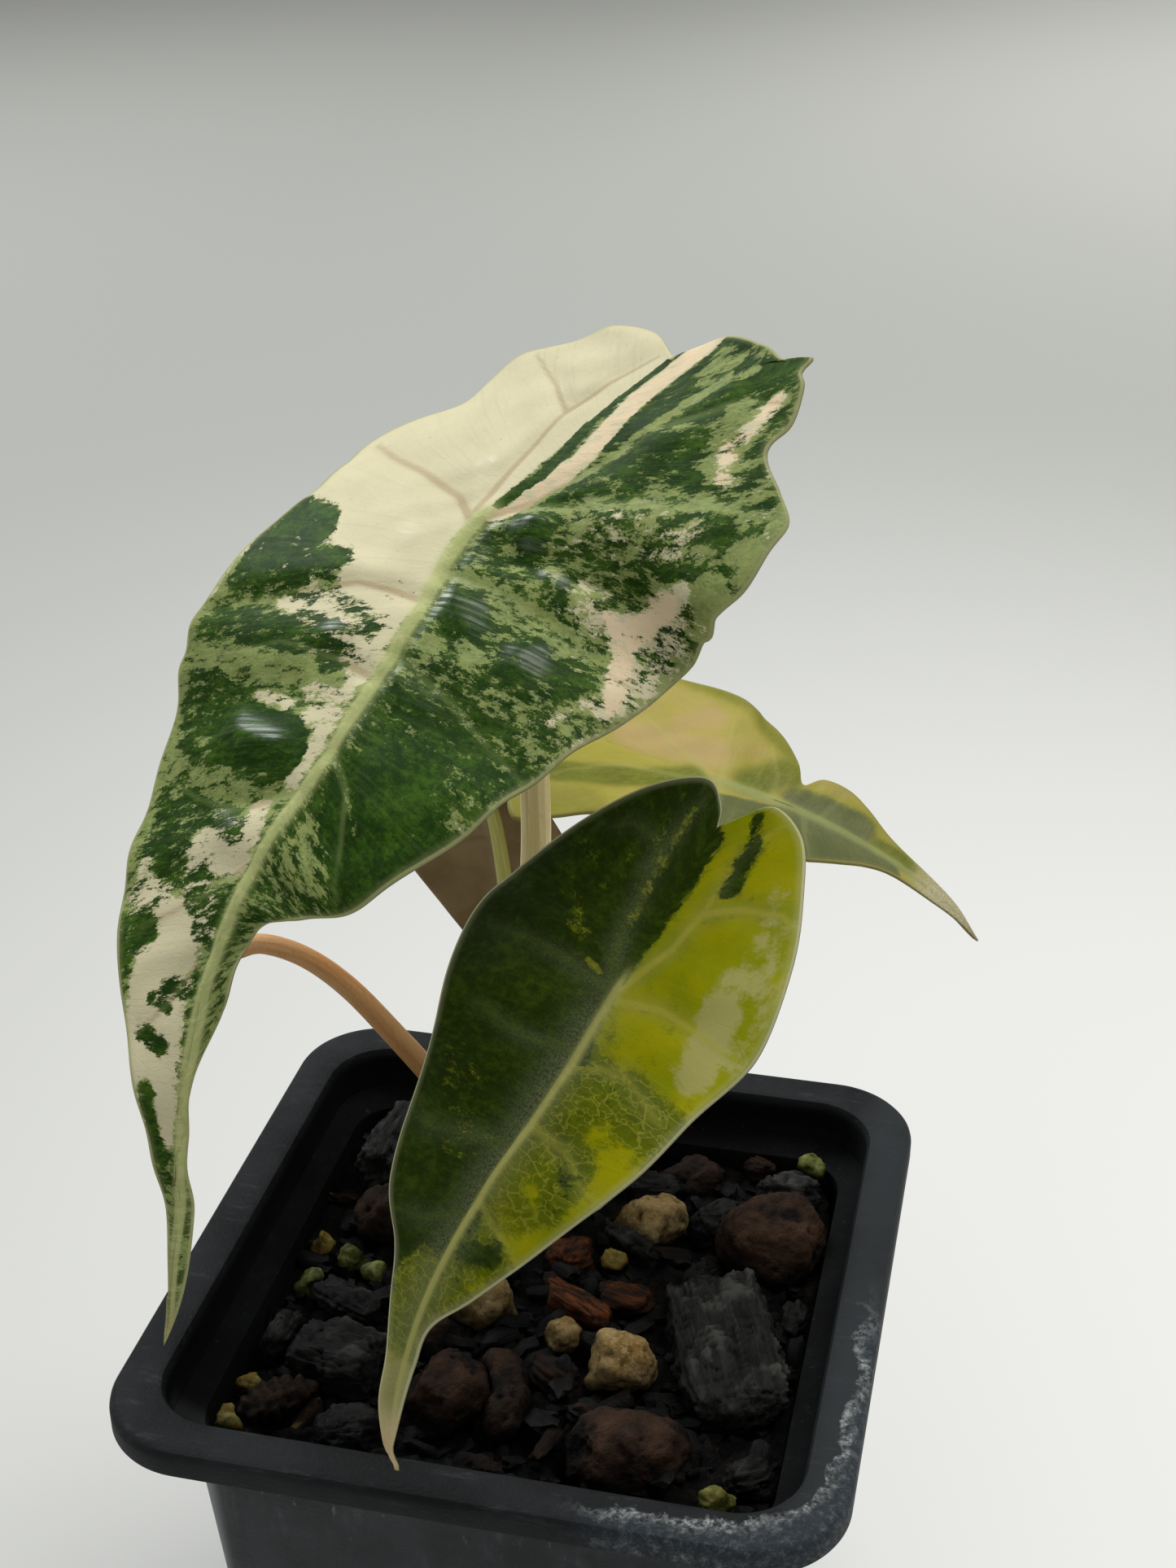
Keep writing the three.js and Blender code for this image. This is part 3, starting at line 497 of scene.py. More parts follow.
charcoal_finish, start, along, raised, _ = chunk_finish("charcoal")
fibres = along.stretched(0.1, 1, 1).cloud(1.3, 6, 0.7)
dust = along.cloud(0.35, 5, 0.7)
coal = layered(
    fibres.step(0.3, 0.75).blend("0c0c0b", "30302e"),
    # painted highlight: ridges of the relief lighter
    (raised.step(0, 0.6), "434340"),
    # painted shade: hollows and cracks near black
    (raised.step(-0.15, -0.7), "040404"),
    (dust.step(0.58, 0.75) * 0.3, "3d372f"),
)
close_chunk(start, coal, 0.42 + 0.35 * dust, fibres, 0.5)

clay_finish, start, along, raised, _ = chunk_finish("fired clay")
patchy = along.cloud(0.22, 5, 0.65)
speck = along.cloud(1.8, 4, 0.7)
fired = layered(
    patchy.step(0.3, 0.6).blend("1c120c", "3c291c"),
    (patchy.step(0.55, 0.7) * 0.6, "503a29"),
    # painted shade in the pits
    (raised.step(-0.1, -0.6), "0a0706"),
    (speck.step(0.36, 0.3) * 0.7, "120c08"),
    (speck.step(0.6, 0.72) * 0.3, "6a5240"),
)
close_chunk(start, fired, 0.6 + 0.3 * speck, speck + patchy, 0.45)

pumice_finish, start, along, raised, _ = chunk_finish("pumice")
patchy = along.cloud(0.2, 4, 0.6)
speck = along.cloud(1.5, 5, 0.75)
stone = layered(
    patchy.step(0.3, 0.6).blend("80622e", "ab9262"),
    (speck.step(0.5, 0.7) * 0.8, "c4b487"),
    (speck.step(0.44, 0.34) * 0.7, "5f4425"),
    # darker brown where the relief sinks into hollows
    (raised.step(-0.02, -0.4), "33230f"),
    (patchy.step(0.62, 0.7) * 0.5, "a5a465"),
)
close_chunk(start, stone, 0.7 + 0.25 * speck, speck, 0.6, 0.6)

bark_finish, start, along, raised, own = chunk_finish("bark")
fibres = along.stretched(0.16, 1, 1.6).cloud(1.1, 6, 0.7)
patchy = along.cloud(0.25, 3)
orange = own.step(0.36, 0.42) * own.step(0.64, 0.6)
cork = layered(
    fibres.step(0.3, 0.72).blend("180e07", "3e2714"),
    (orange * fibres.step(0.38, 0.66) * 0.85, "96501a"),
    (patchy.step(0.55, 0.72) * 0.5, "6b4a26"),
    # painted shade in the hollows
    (raised.step(-0.05, -0.5), "1c0f09"),
)
close_chunk(start, cork, 0.6 + 0.3 * fibres, fibres, 0.5)

grain_finish, start, along, _, own = chunk_finish("fertiliser grain")
patchy = along.cloud(0.5, 4)
green = layered(
    own.step(0.3, 0.7).blend("59622a", "7c6726"),
    (patchy.step(0.5, 0.66) * 0.8, "94915a"),
    (patchy.step(0.5, 0.36) * 0.85, "2a2b12"),
)
close_chunk(start, green, 0.5 + 0.3 * patchy, patchy, 0.25, 0.4)

KINDS = {
    # relief, finish, flat faces broken off, share kept by each break
    "charcoal": (charcoal_relief, charcoal_finish, 9, 0.74),
    "clay": (clay_relief, clay_finish, 7, 0.78),
    "pumice": (pumice_relief, pumice_finish, 14, 0.7),
    "bark": (bark_relief, bark_finish, 9, 0.66),
    "grain": (grain_relief, grain_finish, 12, 0.62),
}
for node in sorted(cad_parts):
    kind = node.split("_")[0]
    if kind not in KINDS:
        continue
    relief, finish, cuts, keep = KINDS[kind]
    if node in ("clay_ball_1", "clay_ball_2", "charcoal_1"):
        cuts = 0
    if node == "bark_4":
        relief, cuts = scale_relief, 0
    lowest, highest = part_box(node)
    voxel = FINE_VOXEL if max(highest[i] - lowest[i] for i in range(3)) < 8 * MM else VOXEL
    chunk = worn_piece(node, node + "_chunk", relief, voxel, cuts, keep)
    chunk.data.materials.append(finish)
    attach(chunk, "root")
    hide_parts(node)

# The crumbs: chips a few millimetres long that have settled between the chunks and hide
# the bed of the mix. They are broken charcoal and bark, with a few bits of clay and pumice.
CRUMB_COUNT = 520
CRUMB_SPREAD = 68
CRUMB_SHARES = (("charcoal", 0.8), ("clay", 0.92), ("bark", 0.985), ("pumice", 1.0))

crumb_meshes = {kind: bmesh.new() for kind, _ in CRUMB_SHARES}
crumb_layers = {}
for kind, mesh in crumb_meshes.items():
    crumb_layers[kind] = [mesh.verts.layers.float_vector.new(key) for key in ("grain", "relief_and_seed")]
for order in range(CRUMB_COUNT):
    draw = [spread(order * 11 + i) for i in range(9)]
    kind = next(kind for kind, share in CRUMB_SHARES if draw[0] <= share)
    mesh = crumb_meshes[kind]
    grain, relief_and_seed = crumb_layers[kind]
    x, y = (draw[1] - 0.5) * CRUMB_SPREAD, (draw[2] - 0.5) * CRUMB_SPREAD
    size = 1.3 + 2.6 * draw[3] ** 2
    lengths = size * Vector((1.1 + draw[4], 0.7 + 0.3 * draw[5], 0.45 + 0.3 * draw[6]))
    turn = Matrix.Rotation(draw[7] * 6.28, 4, "Z") @ Matrix.Rotation((draw[8] - 0.5) * 1.4, 4, "Y")
    at = Matrix.Translation(Vector((x, y, mix_height(x, y) + 0.3 * lengths.z)) * MM)
    made = bmesh.ops.create_icosphere(mesh, subdivisions=2, radius=1)["verts"]
    for vertex in made:
        p = vertex.co.copy()
        widest = max(abs(p.x), abs(p.y), abs(p.z))
        p *= 1 + 0.4 * (1 / widest - 1)
        push = 0.5 * noise.noise(p * 1.7 + Vector((order * 1.3, 0, 0))) + 0.16 * noise.noise(p * 4.1)
        p *= 1 + push
        local = Vector((p.x * lengths.x, p.y * lengths.y, p.z * lengths.z)) / 2
        vertex[grain] = (local.x + order * 9, local.y, local.z)
        vertex[relief_and_seed] = (push * 2 - 0.42, draw[3], 0)
        vertex.co = at @ turn @ (local * MM)
for kind, mesh in crumb_meshes.items():
    crumbs = piece_of(mesh, kind + "_crumbs", 40)
    crumbs.data.materials.append(KINDS[kind][1])
    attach(crumbs, "root")

# The rootstock: a short brown trunk, half sunk in the mix, ringed by the papery bases of
# old leaves. The five stalks rise out of it.
def rootstock_relief(p, seed):
    rings = math.sin(p.x * 2.2 + 1.5 * noise.noise(p * 0.2))
    return 0.2 * rings + 0.3 * rumple(p, 0.3)


rootstock = worn_piece("rootstock", "rootstock_trunk", rootstock_relief)
rootstock_finish, start = new_finish("rootstock skin")
along = attribute(start, "grain")
husk = along.stretched(1, 0.3, 0.3).cloud(0.8, 6, 0.7)
skin = husk.step(0.35, 0.7).blend("2c1c12", "7b5738")
close_finish(start, {"Base Color": skin, "Roughness": 0.65 + 0.25 * husk}, husk, 0.6)
rootstock.data.materials.append(rootstock_finish)
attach(rootstock, "root")
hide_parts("rootstock")

# The large leaf: the oldest blade, arched over from the junction to a long hanging tip.
# Its far-left lobe is pure cream, the rest is marbled in dark green over pale green. The
# quilted skin between the side veins is glossy, and the midrib is thick and pale.
CELL = 0.62
HALF_THICKNESS = 0.32
RIM_THICKNESS = 0.14
RIB_TOP = 0.3
RIB_UNDERSIDE = 1.1
SMOOTHING = 0.12
LEAF_HABIT = {
    # what a leaf's own list may leave out, in flat millimetres, degrees and shares
    "across": 52,
    "roll": 0,
    "curl": 0.4,
    "calm": -99,
    "hook": 0,
    "ruffle": 0,
    "lean": 0,
    "domes": (),
    "rib_width": 1.15,
    "rib_shift": 0,
    "rib_shown": 1,
    "rim_width": 0.55,
    "streaky": 0.6,
    "haze": 0,
    "specular": 0.2,
    "stalk_gap": 1.2,
}


def curve_rows(rows, t):
    """A smooth curve through rows of numbers, where t counts rows and the ends run on straight."""
    rows = np.asarray(rows, float)
    t = np.asarray(t, float)
    padded = np.vstack([2 * rows[0] - rows[1], rows, 2 * rows[-1] - rows[-2]])
    i = np.clip(np.floor(t).astype(int), 0, len(rows) - 2)
    q = (t - i)[:, None]
    a, b, c, d = (padded[i + k] for k in range(4))
    squared = 2 * a - 5 * b + 4 * c - d
    cubed = 3 * b - a - 3 * c + d
    return 0.5 * (2 * b + (c - a) * q + squared * q**2 + cubed * q**3)


def unit(vectors):
    return vectors / np.maximum(np.linalg.norm(vectors, axis=-1, keepdims=True), 1e-9)


def rib_frames(leaf):
    """The rib's samples: distance from the junction, place, direction, across, normal and folds."""
    rib = np.array(leaf["rib"], float)
    t = np.linspace(0, len(rib) - 1, (len(rib) - 1) * 40 + 1)
    samples = curve_rows(rib, t)
    places = samples[:, :3] + (0, 0, POT_HEIGHT)
    gaps = np.linalg.norm(np.diff(places, axis=0), axis=1)
    along = np.concatenate([[0], np.cumsum(gaps)])
    reach = SMOOTHING * along[-1]
    along -= np.interp(1, t, along)
    forward = unit(np.gradient(places, axis=0))
    across = unit(np.cross((0, 0, 1), forward))
    roll = math.radians(leaf["roll"])
    across = across * math.cos(roll) - np.cross(forward, across) * math.sin(roll)
    weights = np.clip(1 - np.abs(along[:, None] - along[None, :]) / reach, 0, None)
    across = unit(weights @ across)
    normal = unit(weights @ np.cross(forward, across))
    return along, places, forward, across, normal, samples[:, 3:5]


def laid_over(leaf, frames, x, s, raised):
    """Flat points of the blade, x across and s along the rib, laid over the folded, curled leaf."""
    along, places, forward, across, normal, folds = frames
    held = np.clip(s, along[0], along[-1])

    def at(values):
        return np.stack([np.interp(held, along, values[:, k]) for k in range(values.shape[1])], -1)

    past = (s - held)[..., None]
    spot = at(places) + past * np.where(past < 0, forward[0], forward[-1])
    side, up, fold_pair = unit(at(across)), unit(at(normal)), at(folds)
    fold = np.radians(np.where(x > 0, fold_pair[..., 1], fold_pair[..., 0]))
    curl = math.radians(leaf["curl"])
    reach = np.abs(x)
    out = (np.sin(fold + curl * reach) - np.sin(fold)) / curl
    drop = (np.cos(fold) - np.cos(fold + curl * reach)) / curl
    return spot + side * (np.sign(x) * out)[..., None] + up * (raised - drop)[..., None], up


def distance_to(line, x, s):
    """Distance from flat points to a line of flat points, and the share along it."""
    nearest = np.full(x.shape, 1e9)
    share = np.zeros(x.shape)
    count = len(line) - 1
    for i, (a, b) in enumerate(zip(line, line[1:])):
        way = np.subtract(b, a)
        q = np.clip(((x - a[0]) * way[0] + (s - a[1]) * way[1]) / max(way @ way, 1e-9), 0, 1)
        gap = np.hypot(x - a[0] - q * way[0], s - a[1] - q * way[1])
        share = np.where(gap < nearest, (i + q) / count, share)
        nearest = np.minimum(nearest, gap)
    return nearest, share


def smooth_step(low, high, value):
    q = np.clip((value - low) / (high - low), 0, 1)
    return q * q * (3 - 2 * q)


def painted(x, s, ground, strokes):
    """Shares of dark tissue, pale tissue and a third tone, blush on some leaves and painted sheen on others,
    from broad strokes laid over a ground.
    """
    paint = np.broadcast_to(np.array(ground, float), (*x.shape, 3)).copy()
    for line, width, soft, values in strokes:
        gap, _ = distance_to(line, x, s)
        weight = smooth_step(width + soft, max(width - soft, 0), gap)[..., None]
        paint += (np.array(values) - paint) * weight
    return paint


def leaf_blade(name, leaf):
    """The blade as one closed skin: its upper face, its margins and its underside."""
    outline = np.array(leaf["outline"], float)
    moves = np.diff(outline, axis=0)
    longest = np.max([moves[:, 0], np.hypot(*moves[:, 1:3].T), np.hypot(*moves[:, 3:5].T)], axis=0)
    rows = [np.linspace(i, i + 1, max(2, round(m / CELL)), endpoint=False) for i, m in enumerate(longest)]
    t = np.concatenate([*rows, [len(outline) - 1]])
    root, left_x, left_s, right_x, right_s = curve_rows(outline, t).T[:, :, None]
    shares = np.linspace(0, 1, leaf["across"] + 1) ** 1.1
    share = np.concatenate([shares[::-1], shares[1:]])
    left = np.arange(len(share)) < len(shares)
    margin_x, margin_s = np.where(left, left_x, right_x), np.where(left, left_s, right_s)
    x, s = margin_x * share, root + (margin_s - root) * share
    tip = outline[-1][0]
    x = x + leaf["hook"] * smooth_step(tip - 3, tip, s) ** 2
    width = np.hypot(margin_x, margin_s - root)
    edge = (1 - share) * width
    taper = np.clip((tip - s) / tip, 0, 1)

    t = t[:, None]
    wave = np.where(t > leaf["first_vein"], np.sin(math.pi * t) ** 2, 0)
    calm = np.where(x < 0, smooth_step(leaf["calm"], leaf["calm"] + 10, s), 1)
    raised = leaf["quilt"] * wave * 4 * share * (1 - share) * np.clip(taper * 4 - 1.5, 0, 1) * calm
    ripple = np.sin(x * 0.55 + 1.7 * np.sin(s * 0.31)) * np.sin(s * 0.62 + 1.3 * np.sin(x * 0.27 + 2))
    raised += leaf["ripple"] * ripple * smooth_step(0.5, 4, np.abs(x)) * smooth_step(0, 3, edge)
    shine = np.zeros(x.shape)
    for line, wide, high in leaf["domes"]:
        gap, _ = distance_to(line, x, s)
        bulge = np.exp(-((gap / wide) ** 2))
        raised += high * bulge
        shine = np.maximum(shine, bulge * min(1, high / 0.5) * (wide < 3.5))
    raised += leaf["ruffle"] * np.sin(s * 0.62 + 0.9 * np.sin(s * 0.23)) * np.exp(-edge / 2.6)
    vein, groove = np.zeros(x.shape), np.zeros(x.shape)
    halo = np.exp(-((x / 3) ** 2)) * smooth_step(-3, 6, s)
    for line in leaf["veins"]:
        gap, gone = distance_to(line, x, s)
        ridge = np.exp(-((gap / (0.62 - 0.25 * gone)) ** 2)) * (1 - 0.4 * gone)
        vein = np.maximum(vein, ridge)
        halo = np.maximum(halo, 0.7 * np.exp(-((gap / 1.4) ** 2)) * (1 - 0.8 * gone))
        groove = np.maximum(groove, np.exp(-((gap / 1.5) ** 2)) * (1 - 0.7 * gone))
    raised -= leaf["groove"] * groove * smooth_step(0.5, 4, np.hypot(x, s))

    frames = rib_frames(leaf)
    places, up = laid_over(leaf, frames, x, s, raised)
    skin = np.cross(np.gradient(places, axis=0), np.gradient(places, axis=1))
    size = np.linalg.norm(skin, axis=-1, keepdims=True)
    skin = np.where(size > 1e-7, skin / np.maximum(size, 1e-9), up)
    skin *= np.where((skin * up).sum(axis=-1, keepdims=True) < 0, -1, 1)
    thick = RIM_THICKNESS + (HALF_THICKNESS - RIM_THICKNESS) * (1 - np.exp(-edge / 0.5))
    rib_width = leaf["rib_width"] * np.sqrt(np.clip(taper, 0.02, 1))
    midrib = np.exp(-(((x - leaf["rib_shift"]) / rib_width) ** 2)) * smooth_step(-4, 1.5, s)
    top = places + skin * (thick + RIB_TOP * 1.4 * midrib * np.sqrt(taper))[..., None]
    under = places - skin * (thick + (RIB_UNDERSIDE * midrib + 0.35 * vein) * np.sqrt(taper))[..., None]

    paint = painted(x, s, leaf["ground"], leaf["strokes"])
    form = np.stack([vein, edge, np.zeros(x.shape)], -1)
    sheen = np.stack([halo, shine, smooth_step(*leaf["dry"], s)], -1)
    flat = np.stack([x, s, midrib], -1)
    leaning = root + leaf["lean"] * share * width * smooth_step(12, -18, root)
    line = np.stack([np.where(left, -1, 1) * share * width, leaning, s * 0], -1)

    def around(upper, lower):
        return np.concatenate([upper, lower[:, ::-1], upper[:, :1]], axis=1)

    below = form + (0, 0, 1)
    fields = {"paint": (paint, paint), "form": (form, below), "flat": (flat, flat), "line": (line, line)}
    fields["sheen"] = (sheen, sheen)
    mesh = bent_grid(around(top, under), {key: around(*pair) for key, pair in fields.items()})
    blade = piece_of(mesh, name + "_skin")
    blade.data.materials.append(leaf_finish(name, leaf))
    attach(blade, "root")
    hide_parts(name + "_blade")


def leaf_finish(name, leaf):
    """Leaf tissue: light ground, pale green veil, dark green patches, veins, rim and underside."""
    tones = leaf["tones"]
    made, start = new_finish(name + " tissue")
    flat, line, paint, form, sheen = (
        attribute(start, key) for key in ("flat", "line", "paint", "form", "sheen")
    )
    vein, edge, under = form.part(0), form.part(1), form.part(2)
    halo, shine, dry = sheen.part(0), sheen.part(1), sheen.part(2)
    midrib = flat.part(2)
    along = line.stretched(leaf["streaky"], 1, 1)
    beside = along.node("ShaderNodeVectorMath", {"operation": "ADD"}, {0: along, 1: (31, 17, 5)})
    blotch = along.cloud(leaf["grain"], 9, 0.82)
    other = beside.cloud(leaf["grain"] * 1.2, 9, 0.82)
    broad = flat.cloud(0.09, 3)
    fine = flat.cloud(1.3, 4, 0.7)
    hairs = flat.cloud(3.4, 3, 0.8)
    lines = line.stretched(0.05, 1.9, 1).cloud(1.0, 3, 0.6)
    bent = {0: line.stretched(0.42, 1, 1), 1: flat.cloud(0.3, 3) * 3}
    net = line.node("ShaderNodeVectorMath", {"operation": "ADD"}, bent)
    net = net.cells(0.85, "DISTANCE_TO_EDGE").step(0.07, 0.01)
    ragged, soft = leaf["ragged"], leaf["soft"]
    dark = (paint.part(0) - 0.5 + (blotch - 0.5) * ragged).step(-soft, soft)
    pale = (paint.part(1) - 0.5 + (other - 0.5) * ragged).step(-soft * 1.5, soft * 2.5)
    warm = beside.stretched(1.3, 1.3, 1).cloud(leaf["grain"], 7, 0.75)
    blush_and_sheen_share = (paint.part(2) - 0.5 + (warm - 0.5) * ragged * 0.7).step(-0.05 - soft, 0.1 + soft)
    veil = (other * 1.4 + fine * 0.3 - 0.15).step(0.5, 0.85).blend(tones["pale"], tones["pale_two"])
    deep = (other + broad * 0.3 + fine * 0.2).step(0.68, 0.92).blend(tones["dark"], tones["dark_two"])
    net_tone = dark.blend(pale.blend(tones["vein_light"], tones["net"]), tones["vein_green"])
    rib_tone = (fine * 0.6 + dark * 0.25).blend(tones["rib"], tones["rib_two"])
    seen = leaf["vein_shown"] - leaf["vein_fade"] * pale.math("MAXIMUM", pale, dark)
    rim = leaf["rim_width"]
    tissue = layered(
        broad.step(0.35, 0.65).blend(tones["light"], tones["light_two"]),
        # blush, which on the front leaf's right margin is a painted sheen
        (blush_and_sheen_share * 0.9, tones["blush_and_sheen"]),
        (pale * 0.92, veil),
        (net * leaf["net"] * (0.1 + 0.9 * pale), net_tone),
        (dark, deep),
        (net * leaf["net"] * 0.12 * dark, net_tone),
        ((lines - 0.5).step(0, 0.25) * 0.14, net_tone),
        # painted sheen: a speckled grey haze along the midrib and veins
        (halo * leaf["haze"] * (0.35 + hairs.step(0.4, 0.6)), tones["haze"]),
        ((vein.step(0, 0.5) * 0.25 + vein.step(0.25, 0.8) * 0.75) * seen, net_tone),
        (midrib.step(0, 0.5) * 0.35, rib_tone),
        (midrib.step(0.35, 0.8) * leaf["rib_shown"], rib_tone),
        (edge.step(1.3, 0.3) * 0.2, tones["rim"]),
        (edge.step(rim, rim * 0.4) * 0.8, tones["rim"]),
        (dry, hairs.step(0.3, 0.7).blend(tones["dry"], tones["rim"])),
        (under, broad.step(0.3, 0.7).blend(tones["under"], tones["under_two"])),
    )
    roughness = leaf["roughness"] + 0.2 * (fine - 0.5) + 0.1 * under - 0.2 * shine
    relief = fine * 0.5 - net * 0.12 + vein * 0.5 + dark * 0.1 + lines * 0.2
    glint = shine.step(0.1, 0.7) * lines.step(0.4, 0.62) * (0.3 + 0.8 * fine) * (1 - under)
    values = {"Base Color": tissue, "Roughness": roughness, "Specular IOR Level": leaf["specular"]}
    values |= {"Coat Weight": glint, "Coat Roughness": 0.26}
    close_finish(start, values, relief, 0.07)
    return made


def leaf_stalk(name, leaf):
    """The stalk: a tapering round stem along its curve, a little swollen at its foot."""
    points = np.array([*leaf["stalk"], leaf["rib"][1][:3]], float) + (0, 0, POT_HEIGHT)
    points[-1] -= unit(points[-1] - points[-2]) * leaf["stalk_gap"]
    t = np.linspace(0, len(points) - 1, 90)
    path = curve_rows(points, t)
    forward = unit(np.gradient(path, axis=0))
    low, high = leaf["stalk_radii"]
    share = np.linspace(0, 1, len(t))
    radius = (low + (high - low) * share + 0.5 * np.exp(-share / 0.05)) * smooth_step(1.02, 0.97, share)
    radius[0] = radius[-1] = 0
    around = np.linspace(0, 2 * math.pi, 25)
    side = unit(np.cross(forward[0], (0.3, 1, 0)))
    rings = []
    for spot, way, wide in zip(path, forward, radius):
        side = unit(side - way * (side @ way))
        other = np.cross(way, side)
        rings.append([spot + (side * math.cos(a) + other * math.sin(a)) * wide for a in around])
    line = np.stack(np.broadcast_arrays(around[None, :] * 2, share[:, None] * 100, np.zeros((1, 1))), -1)
    stalk = piece_of(bent_grid(np.array(rings), {"line": line}), name + "_stem")
    made, start = new_finish(name + " stalk skin")
    line = attribute(start, "line")
    at = object_space(start)
    stripes = line.stretched(1.6, 0.05, 1).cloud(1.0, 5, 0.7)
    flecks = at.stretched(1, 1, 0.3).cloud(1.6, 4, 0.7)
    pale, deep, fleck = leaf["stalk_tones"]
    skin = stripes.step(0.35, 0.65).blend(pale, deep)
    skin = (flecks.step(0.55, 0.72) * 0.6).blend(skin, fleck)
    close_finish(start, {"Base Color": skin, "Roughness": 0.35 + 0.25 * flecks}, stripes + flecks, 0.15)
    stalk.data.materials.append(made)
    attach(stalk, "root")
    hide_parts(name + "_stalk")


